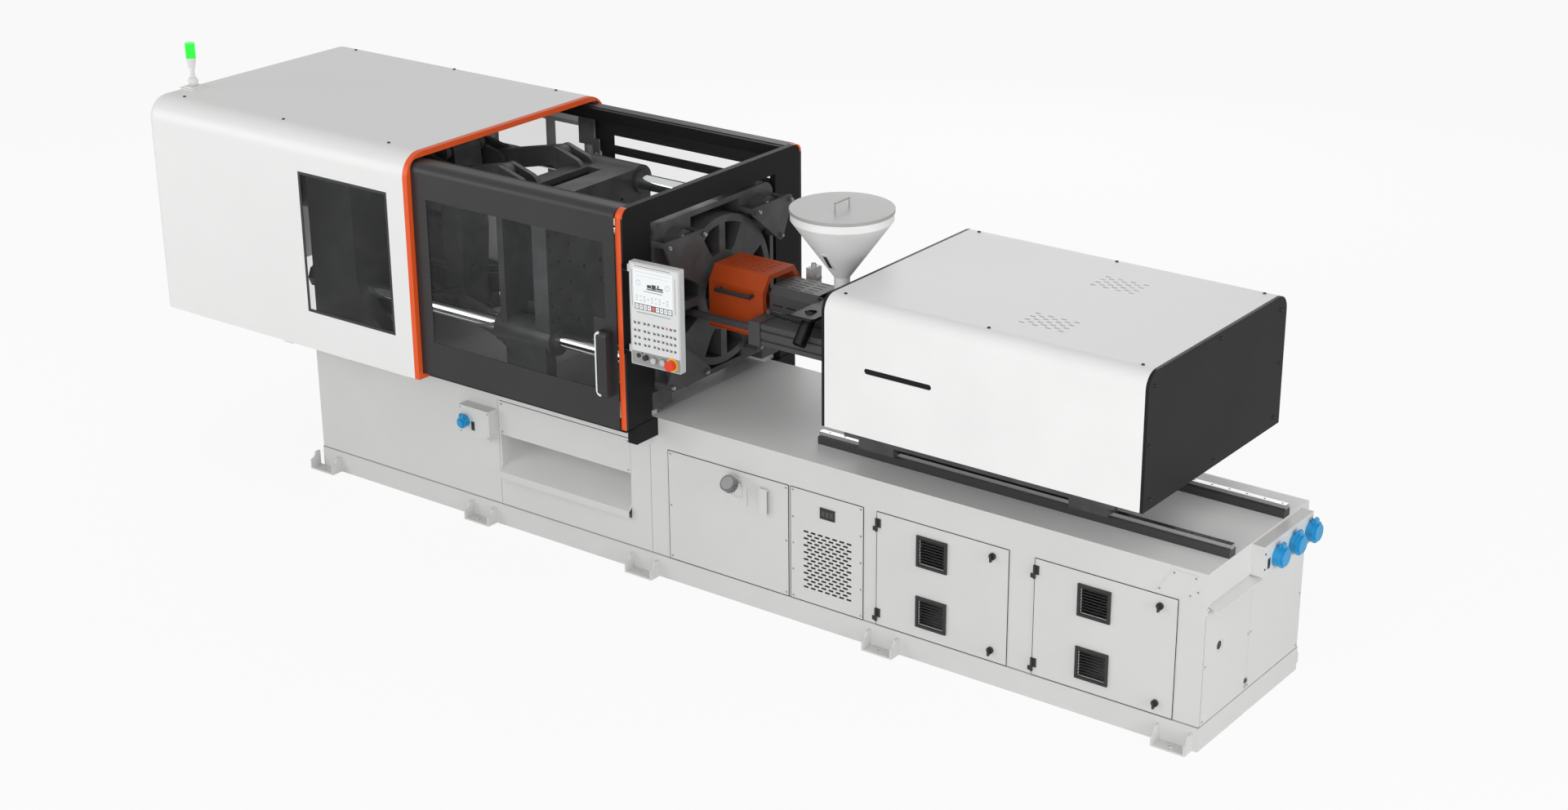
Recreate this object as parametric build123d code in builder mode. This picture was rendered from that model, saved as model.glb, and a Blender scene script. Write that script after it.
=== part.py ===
"""Injection moulding machine with a double toggle clamp.

X runs along the machine towards the injection end, the operator stands at -Y and Z points up.
The origin is on the floor, in the middle of the base. All sizes are in millimetres.
"""
import os
from math import cos, radians, sin

from build123d import *

os.makedirs("parts", exist_ok=True)

# Clearances and stock
sheet = 3.0
fit = 0.3
running_fit = 0.08

# Base
base_length = 4926.0
base_width = 874.0
plinth_height = 106.0
plinth_beam = 60.0
body_top = 645.0
wall = 4.0
body_side = base_width / 2 - sheet
base_end = base_length / 2
seam_x = -1253.0
chute_span = (-1240.0, -448.0)
service_span = (-224.0, 442.0)
vent_span = (456.0, 838.0)
door_left_span = (910.0, 1564.0)
door_right_span = (1690.0, 2342.0)
panel_low = 112.0
panel_high = 638.0
bay_flange = 24.0
chute_sill = 245.0
chute_panel_low = 470.0
foot_places = (-2418.0, -1370.0, -370.0, 952.0, 2362.0)
foot_length = 155.0
foot_reach = 62.0
foot_height = 80.0
foot_plate = 8.0
foot_hole = 10.0

# Bed of the clamp and table of the injection unit
bed_top = 700.0
bed_drop_side = 300.0
slideway_rise = 12.0
slideway_y = 345.0
slideway_width = 70.0
table_start = -316.0
table_top = 781.0
table_end = 2465.0
seat_start = -520.0
pad_side = (395.0, 465.0)
pad_height = 42.0

# Clamp unit
axis_z = 1267.0
bar_pitch = 304.0
bar_radius = 37.5
mould_face = -503.0
platen_front = -282.0
platen_half_y = 425.0
platen_half_z = 402.0
hub_face = -243.0
ring_radius = 346.0
pocket_outer = 312.0
pocket_inner = 182.0
spoke_width = 42.0
platen_web = 70.0
nozzle_bore = 62.0
moving_face = -963.0
moving_plate = 87.0
moving_half = 370.0
moving_depth = 300.0
housing_radius = 78.0
housing_length = 355.0
tail_back = -2483.0
tail_face = -2183.0
tail_half_y = 392.0
tail_half_z = 430.0

# Toggle
link_length = 390.0
fold_at_rest = 13.0
pivot_rise = 395.0
tail_pivot_x = -2113.0
pin_radius = 24.0
eye_radius = 45.0
knee_radius = 48.0
lobe_length = 170.0
lobe_angle = 18.0
cross_eye = 36.0
cross_pin = 18.0
cross_layer = (100.0, 130.0)
inner_layer = (140.0, 165.0)
front_layer = (170.0, 215.0)
outer_layer = (220.0, 245.0)
crosshead_side = 90.0
guide_rod_z = 210.0
guide_rod_radius = 25.0
piston_rod_radius = 40.0

# Ejector
ejector_plate = 25.0
ejector_rod_radius = 12.0
ejector_rod_pitch = 140.0

# Guards
cover_end = -3255.0
cover_mouth = -1532.0
cover_half_y = 681.0
cover_low = 757.0
cover_top = 1831.0
cover_edge_radius = 110.0
cover_corner_radius = 45.0
window_span = (-2217.0, -1640.0)
window_low = 947.0
window_high = 1638.0
trim_width = 28.0
trim_depth = 26.0
frame_thickness = 31.0
frame_half_y = 644.0
frame_low = 785.0
frame_top = 1793.0
frame_opening_y = 446.0
frame_opening_low = 930.0
frame_opening_top = 1690.0
door_front_y = 653.0
door_left_end = -1540.0
door_fold = 90.0
door_edge_radius = 40.0
door_window_span = (-1420.0, -376.0)
door_window_low = 953.0
door_window_high = 1636.0
strip_y = 12.0

# Injection unit
rail_y = 235.0
rail_width = 50.0
rail_start = 472.0
rail_end = 2462.0
rail_base = 34.0
rail_head = 21.0
carriage_span = (640.0, 1960.0)
hood_span = (734.0, 2225.0)
hood_half_y = 572.0
hood_low = 1029.0
hood_top = 1602.0
hood_radius = 70.0
hood_frame = 14.0
barrel_radius = 58.0
barrel_start = -262.0
barrel_end = 760.0
bore_radius = 24.0
cover_tube_span = (95.0, 330.0)
cover_tube_half_y = 100.0
cover_tube_half_z = 112.0
guard_span = (-213.0, 87.0)
guard_half_y = 138.0
guard_flat_y = 92.0
guard_top = 1425.0
guard_shoulder = 1359.0
cylinder_y = 200.0
cylinder_z = 1212.0
cylinder_half = 55.0
cylinder_span = (95.0, 560.0)
cylinder_rod = 17.0
hopper_x = 413.0
hopper_radius = 224.0
hopper_rim = 1769.0
hopper_cone_top = 1722.0
hopper_cone_low = 1461.0
hopper_neck = 35.0

# Control panel
desk_width = 262.0
desk_height = 463.0
desk_depth = 33.0
desk_corner = (-202.0, -690.0)
desk_top = 1600.0
desk_turn = 3.3


def block(x, y, z, mode=Mode.ADD):
    """A rectangular block between three spans, for the open builder."""
    with Locations((sum(x) / 2, sum(y) / 2, sum(z) / 2)):
        Box(abs(x[1] - x[0]), abs(y[1] - y[0]), abs(z[1] - z[0]), mode=mode)


def bar_x(y, z, radius, span, mode=Mode.ADD):
    """A round bar along X."""
    with Locations((sum(span) / 2, y, z)):
        Cylinder(radius, abs(span[1] - span[0]), rotation=(0, 90, 0), mode=mode)


def bar_y(x, z, radius, span, mode=Mode.ADD):
    """A round bar along Y."""
    with Locations((x, sum(span) / 2, z)):
        Cylinder(radius, abs(span[1] - span[0]), rotation=(90, 0, 0), mode=mode)


def bar_z(x, y, radius, span, mode=Mode.ADD):
    """A round bar along Z."""
    with Locations((x, y, sum(span) / 2)):
        Cylinder(radius, abs(span[1] - span[0]), mode=mode)


def both(span, side):
    """A span in Y on one side of the middle."""
    return (span[0] * side, span[1] * side)


# Base frame: plinth beams, plates of the bays, posts and rails in front, hinge lugs and feet, welded together
with BuildPart() as foot:
    with BuildSketch(Plane.YZ.offset(-foot_length / 2)):
        with Locations((-foot_reach / 2, foot_height / 2)):
            Rectangle(foot_reach, foot_height)
        with Locations((-foot_reach, foot_height)):
            Circle(foot_height * 0.4, mode=Mode.SUBTRACT)
    extrude(amount=foot_length)
    block(
        (-foot_length / 2 + foot_plate, foot_length / 2 - foot_plate),
        (-foot_reach, 0),
        (foot_plate, foot_height),
        mode=Mode.SUBTRACT,
    )
    bar_z(0, -foot_reach / 2, foot_hole, (0, foot_plate), mode=Mode.SUBTRACT)

knuckle_z = (589.0, 169.0)
knuckle_radius = 6.0
knuckle_half = 20.0
knuckle_strap = 20.0
strap_thickness = 4.0
hinge_pin_radius = 3.0
lug_length = 19.0
front = -base_width / 2
cross_member = 80.0
cross_places = (-1231.0, 0.0, 1231.0)
pillar_end = -326.0
plinth_inner = base_width / 2 - plinth_beam
with BuildPart() as plinth:
    with BuildSketch():
        Rectangle(base_length, base_width)
        Rectangle(base_length - 2 * plinth_beam, 2 * plinth_inner, mode=Mode.SUBTRACT)
        with Locations(*[(x, 0) for x in cross_places]):
            Rectangle(cross_member, base_width - plinth_beam)
    extrude(amount=plinth_height)
    for y in (-plinth_inner, plinth_inner):
        split(bisect_by=Plane.XZ.offset(y), keep=Keep.BOTH)

body_x = (-base_end + sheet, base_end - sheet)
inner_y = (-body_side + wall, body_side - wall)
inner_z = (plinth_height + wall, body_top - wall)
mouths = (service_span, vent_span, door_left_span, door_right_span)
mouth_z = (panel_low + bay_flange, panel_high - bay_flange)
with BuildPart() as base_plates:
    block(body_x, (inner_y[0], body_side), (plinth_height, body_top))
    for x, z in (
        ((body_x[0] + wall, seam_x - wall), inner_z),
        (chute_span, (inner_z[0], chute_sill - wall)),
        (chute_span, (chute_sill, body_top)),
        ((chute_span[1] + wall, pillar_end - wall), inner_z),
    ):
        block(x, inner_y, z, mode=Mode.SUBTRACT)
    starts = [pillar_end] + [(a[1] + b[0]) / 2 for a, b in zip(mouths, mouths[1:])]
    for start, end in zip(starts, starts[1:] + [body_x[1]]):
        block((start + wall / 2, end - wall / 2), inner_y, inner_z, mode=Mode.SUBTRACT)
    split(bisect_by=Plane.XZ.offset(-inner_y[1]), keep=Keep.BOTH)
    for z in inner_z:
        split(bisect_by=Plane.XY.offset(z), keep=Keep.BOTH)

with BuildPart() as front_posts:
    front_y = (-body_side, inner_y[0])
    block(body_x, front_y, (plinth_height, body_top))
    block(chute_span, front_y, (chute_sill, inner_z[1]), mode=Mode.SUBTRACT)
    for mouth in mouths:
        block((mouth[0] + bay_flange, mouth[1] - bay_flange), front_y, mouth_z, mode=Mode.SUBTRACT)
    for z in (mouth_z[0], chute_sill, mouth_z[1], inner_z[1]):
        split(bisect_by=Plane.XY.offset(z), keep=Keep.BOTH)

with BuildPart() as hinge_lugs:
    for x in (door_left_span[0], door_right_span[0]):
        for z in knuckle_z:
            lug_z = (z - knuckle_half - fit - lug_length, z - knuckle_half - fit)
            block((x - knuckle_strap, x - 1), (front - strap_thickness, -body_side), lug_z)
            bar_z(x, front - knuckle_radius, knuckle_radius - 0.5, lug_z)
            bar_z(x, front - knuckle_radius, hinge_pin_radius, (lug_z[0], z + knuckle_half - 2))

with BuildPart() as feet:
    for x in foot_places:
        with Locations(Location((x, -base_width / 2, 0)), Location((x, base_width / 2, 0), (0, 0, 180))):
            add(foot.part)

with BuildPart() as base_frame:
    welded = (plinth, base_plates, front_posts, hinge_lugs, feet)
    add([piece for group in welded for piece in group.solids()], mode=Mode.REPLACE)
base_frame.part.label = "base_frame"
export_step(base_frame.part, "parts/base_frame.step")

# Clamp bed: top plate with the drop opening, slideways, raised seat, platen pads and cover brackets
bracket_places = (-2380.0, -1990.0, -1600.0)
bracket_width = 60.0
bracket_root = 400.0
bracket_plate = 6.0
bed_end = table_start - 1
with BuildPart() as clamp_bed:
    block((-base_end, bed_end), (-base_width / 2, base_width / 2), (body_top, bed_top))
    block(chute_span, (-bed_drop_side, bed_drop_side), (body_top, bed_top), mode=Mode.SUBTRACT)
    block((seat_start, bed_end), (-base_width / 2, base_width / 2), (bed_top, table_top))
    for side in (-1, 1):
        block(
            (-base_end + 20, seat_start - 10),
            (side * slideway_y - slideway_width / 2, side * slideway_y + slideway_width / 2),
            (bed_top, bed_top + slideway_rise),
        )
        block((mould_face, bed_end), both(pad_side, side), (table_top, table_top + pad_height))
        for x in bracket_places:
            arm_x = (x - bracket_width / 2, x + bracket_width / 2)
            block(arm_x, both((bracket_root, base_width / 2), side), (bed_top, cover_low))
            arm_y = both((bracket_root, cover_half_y - sheet), side)
            block(arm_x, arm_y, (cover_low - bracket_plate, cover_low))
clamp_bed.part.label = "clamp_bed"
export_step(clamp_bed.part, "parts/clamp_bed.step")

# Table of the injection unit: folded sheet, open underneath
with BuildPart() as table:
    block((table_start, table_end), (-base_width / 2, base_width / 2), (body_top, table_top))
    block(
        (table_start + 2 * sheet, table_end - 2 * sheet),
        (-base_width / 2 + 2 * sheet, base_width / 2 - 2 * sheet),
        (body_top, table_top - 2 * sheet),
        mode=Mode.SUBTRACT,
    )
table.part.label = "table"
export_step(table.part, "parts/table.step")

# Chute: sloping tray with side cheeks and a lip in front
tray_lip_y = -457.0
tray_lip = (251.0, 287.0)
tray_slope = 35.0
tray_run = 440.0
with BuildPart() as chute_tray:
    tray_x = (chute_span[0] + fit, chute_span[1] - fit)
    rise = tray_run * sin(radians(tray_slope))
    run = tray_run * cos(radians(tray_slope))
    with BuildSketch(Plane.YZ.offset(tray_x[0])):
        with BuildLine():
            Polyline(
                (tray_lip_y, tray_lip[0]),
                (tray_lip_y, tray_lip[1]),
                (tray_lip_y + run, tray_lip[1] + rise),
                (tray_lip_y + run, tray_lip[1] + rise - 1.3 * sheet),
                (tray_lip_y + sheet, tray_lip[1] - 1.3 * sheet),
                (tray_lip_y + sheet, tray_lip[0]),
                close=True,
            )
        make_face()
    extrude(amount=tray_x[1] - tray_x[0])
    for x in (tray_x[0], tray_x[1] - sheet):
        with BuildSketch(Plane.YZ.offset(x)):
            with BuildLine():
                Polyline(
                    (tray_lip_y + sheet, tray_lip[1] - 1.3 * sheet),
                    (tray_lip_y + 25, tray_lip[1] + 35),
                    (tray_lip_y + run, tray_lip[1] + rise + 20),
                    (tray_lip_y + run, tray_lip[1] + rise - 1.3 * sheet),
                    close=True,
                )
            make_face()
        extrude(amount=sheet)
chute_tray.part.label = "chute_tray"
export_step(chute_tray.part, "parts/chute_tray.step")

# Bolt-on panels: chute panel, service panel with the filler neck and its pull, access plate,
# end panels with the rain lip, and the two socket boxes
neck_x = 172.0
neck_z = 548.0
neck_tilt = 40.0
neck_radius = 30.0
neck_length = 62.0
neck_plate = (96.0, 130.0)
pull_x = 318.0
pull_z = 533.0
pull_size = (42.0, 124.0, 20.0)
end_seam_y = -40.0
end_hole = (-293.0, 418.0, 28.0)
seam_hole = (-41.0, 148.0, 22.0)
lip_span = (-405.0, -25.0)
lip_reach = 38.0
end_box_y = (-70.0, 363.0)
end_box_z = (642.0, 775.0)
end_box_depth = 57.0
clamp_box_x = (-1447.0, -1259.0)
clamp_box_z = (446.0, 592.0)
clamp_box_depth = 60.0
neck_axis = Vector(0, -cos(radians(neck_tilt)), sin(radians(neck_tilt)))
neck_foot = Vector(neck_x, front - 6, neck_z)
neck_plane = Plane(origin=neck_foot, x_dir=(1, 0, 0), z_dir=neck_axis)
with BuildPart() as bolted_panels:
    block(chute_span, (front, -body_side), (chute_panel_low, panel_high))
    block(service_span, (front, -body_side), (panel_low, panel_high))
    block(
        (neck_x - neck_plate[0] / 2, neck_x + neck_plate[0] / 2),
        (front - 6, front),
        (neck_z - neck_plate[1] / 2, neck_z + neck_plate[1] / 2),
    )
    with BuildSketch(neck_plane.offset(-10)):
        Circle(neck_radius)
    extrude(amount=neck_length + 10)
    neck_room = (neck_x - 60, neck_x + 60)
    block(neck_room, (-body_side, -body_side + 40), (neck_z - 60, neck_z + 60), Mode.SUBTRACT)
    block(
        (pull_x - pull_size[0] / 2, pull_x + pull_size[0] / 2),
        (front - pull_size[2], front),
        (pull_z - pull_size[1] / 2, pull_z + pull_size[1] / 2),
    )
    block(
        (pull_x - pull_size[0] / 2 + 12, pull_x + pull_size[0] / 2 + 1),
        (front - pull_size[2] + 4, front),
        (pull_z - pull_size[1] / 2 + 8, pull_z + pull_size[1] / 2 - 8),
        mode=Mode.SUBTRACT,
    )
    with BuildSketch(Plane.XZ.offset(base_width / 2)):
        with BuildLine():
            Polyline((2244, 656), (2317, 766), (2425, 764), (2440, 691), (2400, 660), close=True)
        make_face()
    extrude(amount=sheet)
    for y in ((-base_width / 2 + 12, end_seam_y - 1), (end_seam_y + 1, base_width / 2 - 12)):
        block((base_end - sheet, base_end), y, (panel_low, panel_high - 14))
    for y, z, radius in (end_hole, seam_hole):
        bar_x(y, z, radius, (base_end - 2 * sheet, base_end + sheet), mode=Mode.SUBTRACT)
    with BuildSketch(Plane.XZ.offset(-lip_span[0])):
        with BuildLine():
            Polyline(
                (base_end - sheet, body_top - 8),
                (base_end + lip_reach, body_top - 32),
                (base_end + lip_reach, body_top - 38),
                (base_end - sheet, body_top - 14),
                close=True,
            )
        make_face()
    extrude(amount=lip_span[0] - lip_span[1])
    block((table_end, table_end + end_box_depth), end_box_y, end_box_z)
    block(clamp_box_x, (-body_side - clamp_box_depth, -body_side), clamp_box_z)
bolted_panels.part.label = "bolted_panels"
export_step(bolted_panels.part, "parts/bolted_panels.step")

# Vent panel: sheet with staggered slots, round knock-out and display window
vent_columns = 7
vent_rows = 17
vent_pitch_x = 38.0
vent_pitch_z = 16.5
vent_slot = (26.0, 9.0)
vent_centre = (651.0, 314.0)
display_size = (80.0, 52.0)
display_centre = (653.0, 549.0)
with BuildPart() as vent_panel:
    block(vent_span, (front, -body_side), (panel_low, panel_high))
    with BuildSketch(Plane.XZ.offset(base_width / 2)):
        for row in range(vent_rows):
            odd = row % 2
            z = vent_centre[1] + (row - (vent_rows - 1) / 2) * vent_pitch_z
            with Locations((vent_centre[0], z)):
                with GridLocations(vent_pitch_x, 1, vent_columns - odd, 1):
                    Rectangle(*vent_slot)
        with Locations(display_centre):
            Rectangle(*display_size)
    extrude(amount=-sheet, mode=Mode.SUBTRACT)
    block(
        (display_centre[0] - display_size[0] / 2, display_centre[0] + display_size[0] / 2),
        (front - 2, -body_side),
        (display_centre[1] - display_size[1] / 2, display_centre[1] + display_size[1] / 2),
    )
vent_panel.part.label = "vent_panel"
export_step(vent_panel.part, "parts/vent_panel.step")

# Filler cap: chrome cap with a grip rim on the slanted neck
cap_radius = 37.0
cap_height = 34.0
with BuildPart() as filler_cap:
    with BuildSketch(neck_plane.offset(neck_length + fit)):
        Circle(cap_radius)
    extrude(amount=cap_height)
    with BuildSketch(neck_plane.offset(neck_length + fit)):
        with PolarLocations(cap_radius, 16):
            Circle(2.5)
    extrude(amount=cap_height - 8, mode=Mode.SUBTRACT)
filler_cap.part.label = "filler_cap"
export_step(filler_cap.part, "parts/filler_cap.step")

# Cabinet doors: folded sheet leaves with two grille openings each, and hinge knuckles on the left
grille_size = (152.0, 142.0)
grille_offset = 280.0
grille_z = (516.0, 235.0)
latch_offset = 76.0
latch_z = (592.0, 162.0)
door_fold_depth = 18.0
grille_border = 12.0
grille_depth = 9.0
slat_count = 9
slat_depth = 9.0
slat_thickness = 2.0
slat_tilt = -35.0
latch_radius = 15.0
for name, span in (("left", door_left_span), ("right", door_right_span)):
    x0 = span[0]
    x1 = span[1]
    with BuildPart() as leaf:
        block(span, (front, -body_side), (panel_low, panel_high))
        block(
            (x0 + bay_flange + 2, x1 - bay_flange - 2),
            (-body_side, -body_side + door_fold_depth),
            (panel_low + bay_flange + 2, panel_high - bay_flange - 2),
        )
        block(
            (x0 + bay_flange + 2 + sheet, x1 - bay_flange - 2 - sheet),
            (-body_side, -body_side + door_fold_depth),
            (panel_low + bay_flange + 2 + sheet, panel_high - bay_flange - 2 - sheet),
            mode=Mode.SUBTRACT,
        )
        for z in grille_z:
            block(
                (x0 + grille_offset - 60, x0 + grille_offset + 60),
                (front, -body_side),
                (z - 55, z + 55),
                mode=Mode.SUBTRACT,
            )
        for z in latch_z:
            bar_y(x1 - latch_offset, z, latch_radius - 4, (front, -body_side), mode=Mode.SUBTRACT)
        for z in knuckle_z:
            strap_z = (z - knuckle_half, z + knuckle_half)
            block((x0, x0 + knuckle_strap), (front - strap_thickness, front), strap_z)
            bar_z(x0, front - knuckle_radius, knuckle_radius, strap_z)
            bar_z(x0, front - knuckle_radius, hinge_pin_radius + running_fit, strap_z, mode=Mode.SUBTRACT)
    leaf.part.label = f"cabinet_door_{name}"
    export_step(leaf.part, f"parts/cabinet_door_{name}.step")

    with BuildPart() as grilles:
        for z in grille_z:
            gx = (x0 + grille_offset - grille_size[0] / 2, x0 + grille_offset + grille_size[0] / 2)
            gz = (z - grille_size[1] / 2, z + grille_size[1] / 2)
            block(gx, (front - grille_depth, front), gz)
            block(
                (gx[0] + grille_border, gx[1] - grille_border),
                (front - grille_depth, front),
                (gz[0] + grille_border, gz[1] - grille_border),
                mode=Mode.SUBTRACT,
            )
            slat_pitch = (grille_size[1] - 2 * grille_border) / slat_count
            for slat in range(slat_count):
                slat_z = gz[0] + grille_border + (slat + 0.5) * slat_pitch
                slat_place = (x0 + grille_offset, front - grille_depth / 2, slat_z)
                with Locations(Location(slat_place, (slat_tilt, 0, 0))):
                    Box(grille_size[0] - 2 * grille_border + 2, slat_depth, slat_thickness)
    grilles.part.label = f"grilles_{name}"
    export_step(grilles.part, f"parts/grilles_{name}.step")

    for place, z in (("top", latch_z[0]), ("low", latch_z[1])):
        with BuildPart() as latch:
            bar_y(x1 - latch_offset, z, latch_radius, (front - 12, front - fit))
            bar_y(x1 - latch_offset, z, latch_radius - 4 - running_fit, (front - 2, -body_side + 12))
            block(
                (x1 - latch_offset - 4, x1 - latch_offset + 4),
                (front - 24, front - 12),
                (z - 20, z + 10),
            )
        latch.part.label = f"latch_{name}_{place}"
        export_step(latch.part, f"parts/latch_{name}_{place}.step")

# Power sockets: three on the end box and one on the clamp box, with sprung hinged lids
socket_radius = 44.0
socket_wall = 6.0
socket_body = 26.0
socket_floor = 8.0
socket_y = (40.0, 188.0, 334.0)
socket_z = 700.0
clamp_socket = (-1404.0, 516.0)
clamp_socket_radius = 25.0
lid_thickness = 8.0
lid_gap = 0.5
lid_button = 10.0
hinge_inset = 3.0
hinge_pin = 4.0
hinge_boss = 8.0
hinge_half = 14.0
hinge_ear = 5.0
end_face = table_end + end_box_depth
clamp_face = -body_side - clamp_box_depth


def socket_shell(radius):
    """A socket on a wall at x = 0 that faces +X, with the ears and pin of its lid."""
    hinge_z = radius + hinge_boss + 1
    with BuildPart() as shell:
        bar_x(0, 0, radius, (0, socket_body))
        bar_x(0, 0, radius - socket_wall, (socket_floor, socket_body), mode=Mode.SUBTRACT)
        for side in (-1, 1):
            ear_y = both((hinge_half + fit, hinge_half + fit + hinge_ear), side)
            block((socket_body - 2 * hinge_inset - 2, socket_body), ear_y, (radius - 9, hinge_z + 5))
        bar_y(socket_body - hinge_inset, hinge_z, hinge_pin, (-hinge_half - 2, hinge_half + 2))
    return shell.part


def socket_lid(radius):
    """The lid of a socket, in the same place as the socket that it closes."""
    hinge_z = radius + hinge_boss + 1
    face = socket_body + lid_gap
    with BuildPart() as lid:
        bar_x(0, 0, radius + 2, (face, face + lid_thickness))
        bar_x(0, 0, radius - 8, (face + lid_thickness, face + lid_thickness + lid_button))
        half = (-hinge_half, hinge_half)
        block((face, face + lid_thickness), half, (radius - 9, hinge_z + 4))
        bar_y(socket_body - hinge_inset, hinge_z, hinge_boss, half)
        bar_y(socket_body - hinge_inset, hinge_z, hinge_pin + running_fit, half, mode=Mode.SUBTRACT)
    return lid.part


end_sockets = [Location((end_face, y, socket_z)) for y in socket_y]
clamp_socket_place = Location((clamp_socket[0], clamp_face, clamp_socket[1]), (0, 0, -90))
with BuildPart() as power_sockets:
    with Locations(*end_sockets):
        add(socket_shell(socket_radius))
    with Locations(clamp_socket_place):
        add(socket_shell(clamp_socket_radius))
power_sockets.part.label = "power_sockets"
export_step(power_sockets.part, "parts/power_sockets.step")

for index, place in enumerate(end_sockets):
    with BuildPart() as lid:
        with Locations(place):
            add(socket_lid(socket_radius))
    lid.part.label = f"end_socket_lid_{index + 1}"
    export_step(lid.part, f"parts/end_socket_lid_{index + 1}.step")

with BuildPart() as clamp_lid:
    with Locations(clamp_socket_place):
        add(socket_lid(clamp_socket_radius))
clamp_lid.part.label = "clamp_socket_lid"
export_step(clamp_lid.part, "parts/clamp_socket_lid.step")


def arch(half_width, low, top, radius):
    """A section that is a rectangle with its two upper corners rounded."""
    with BuildSketch() as section:
        with Locations((0, (low + top) / 2)):
            Rectangle(2 * half_width, top - low)
        fillet(section.vertices().group_by(Axis.Y)[-1], radius)
    return section.sketch


# Clamp cover: sheet housing over the clamp, open below and towards the door, with a window on each side
window_post = (-1890.0, -1829.0)
with BuildPart() as cover_hollow:
    with BuildSketch(Plane.YZ.offset(cover_end + sheet)):
        add(arch(cover_half_y - sheet, cover_low, cover_top - sheet, cover_edge_radius - sheet))
    extrude(amount=cover_mouth - cover_end - sheet)
    end_edges = cover_hollow.faces().sort_by(Axis.X)[0].edges()
    fillet([edge for edge in end_edges if edge.center().Z > cover_low + 1], cover_corner_radius - sheet)

with BuildPart() as clamp_cover:
    with BuildSketch(Plane.YZ.offset(cover_end)):
        add(arch(cover_half_y, cover_low, cover_top, cover_edge_radius))
    extrude(amount=cover_mouth - cover_end)
    end_edges = clamp_cover.faces().sort_by(Axis.X)[0].edges()
    fillet([edge for edge in end_edges if edge.center().Z > cover_low + 1], cover_corner_radius)
    add(cover_hollow.part, mode=Mode.SUBTRACT)
    cut_y = (cover_half_y - sheet, cover_half_y)
    block(window_span, both(cut_y, -1), (window_low, window_high), mode=Mode.SUBTRACT)
    for x in ((window_span[0], window_post[0]), (window_post[1], window_span[1])):
        block(x, cut_y, (window_low, window_high), mode=Mode.SUBTRACT)
clamp_cover.part.label = "clamp_cover"
export_step(clamp_cover.part, "parts/clamp_cover.step")

# Clamp windows: tinted panes behind the openings
pane_lap = 20.0
pane_thickness = 5.0
with BuildPart() as clamp_window:
    pane_y = cover_half_y - sheet - fit
    for side in (-1, 1):
        block(
            (window_span[0] - pane_lap, window_span[1] + pane_lap),
            both((pane_y - pane_thickness, pane_y), side),
            (window_low - pane_lap, window_high + pane_lap),
        )
clamp_window.part.label = "clamp_window"
export_step(clamp_window.part, "parts/clamp_window.step")

# Orange trim: arch at the mouth of the clamp cover with its returns, and the edge strips of the end frame
frame_x = platen_front - frame_thickness
trim_clearance = 5.0
return_depth = 40.0
return_height = 23.0
with BuildPart() as orange_trim:
    with BuildSketch(Plane.YZ.offset(cover_mouth)):
        add(arch(cover_half_y, cover_low, cover_top, cover_edge_radius))
        inner_arch = arch(
            cover_half_y - trim_depth, cover_low, cover_top - trim_depth, door_edge_radius + trim_clearance
        )
        add(inner_arch, mode=Mode.SUBTRACT)
    extrude(amount=trim_width)
    for side in (-1, 1):
        return_y = both((cover_half_y - trim_depth - return_depth, cover_half_y - trim_depth), side)
        block((cover_mouth, cover_mouth + trim_width), return_y, (cover_low, cover_low + return_height))
        strip = both((frame_half_y - strip_y, frame_half_y), side)
        block((frame_x, platen_front), strip, (frame_low, frame_top - door_edge_radius))
orange_trim.part.label = "orange_trim"
export_step(orange_trim.part, "parts/orange_trim.step")

# End frame: black plate round the fixed platen, with the door rails and the arms of the control panel
top_rail_y = (539.0, 579.0)
top_rail_height = 54.0
hanger_y = (539.0, 560.0)
hanger_places = (-2500.0, -1600.0)
hanger_width = 40.0
low_rail_y = (540.0, 612.0)
rail_from = -2520.0
corner_reach = 584.0
corner_span = (frame_x - 15, frame_x + 35)
corner_low = bed_top
pivot_radius = 11.0
pivot = (desk_corner[0] - 20, desk_corner[1] + desk_depth + 24)
arm_z = (desk_top - 70, desk_top - desk_height + 30)
arm_plate = 8.0
pivot_height = 36.0
with BuildPart() as end_frame:
    with BuildSketch(Plane.YZ.offset(frame_x)):
        add(arch(frame_half_y - strip_y, frame_low, frame_top, door_edge_radius))
        with Locations((0, (frame_low + frame_opening_top) / 2)):
            Rectangle(2 * frame_opening_y, frame_opening_top - frame_low, mode=Mode.SUBTRACT)
        with Locations((0, (frame_low + frame_opening_low) / 2)):
            Rectangle(2 * (pad_side[1] + 7), frame_opening_low - frame_low, mode=Mode.SUBTRACT)
    extrude(amount=frame_thickness)
    rail_top_z = frame_top - sheet - fit
    for side in (-1, 1):
        block((rail_from, frame_x), both(top_rail_y, side), (rail_top_z - top_rail_height, rail_top_z))
        for x in hanger_places:
            hanger_x = (x - hanger_width / 2, x + hanger_width / 2)
            block(hanger_x, both(hanger_y, side), (rail_top_z, cover_top - sheet))
        block((rail_from, frame_x), both(low_rail_y, side), (cover_low, frame_low - fit))
        block(corner_span, both((base_width / 2, corner_reach), side), (corner_low, table_top))
        block(corner_span, both((pad_side[1] + 7, corner_reach), side), (table_top, frame_low))
    arm_y = (pivot[1] - 14, pivot[1] + 26)
    for z in arm_z:
        block((platen_front, pivot[0] + 14), arm_y, (z, z + arm_plate))
        bar_z(*pivot, pivot_radius, (z + arm_plate, z + arm_plate + pivot_height))
    block((platen_front, platen_front + 6), arm_y, (arm_z[1] - 20, arm_z[0] + 28))
end_frame.part.label = "end_frame"
export_step(end_frame.part, "parts/end_frame.step")

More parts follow.
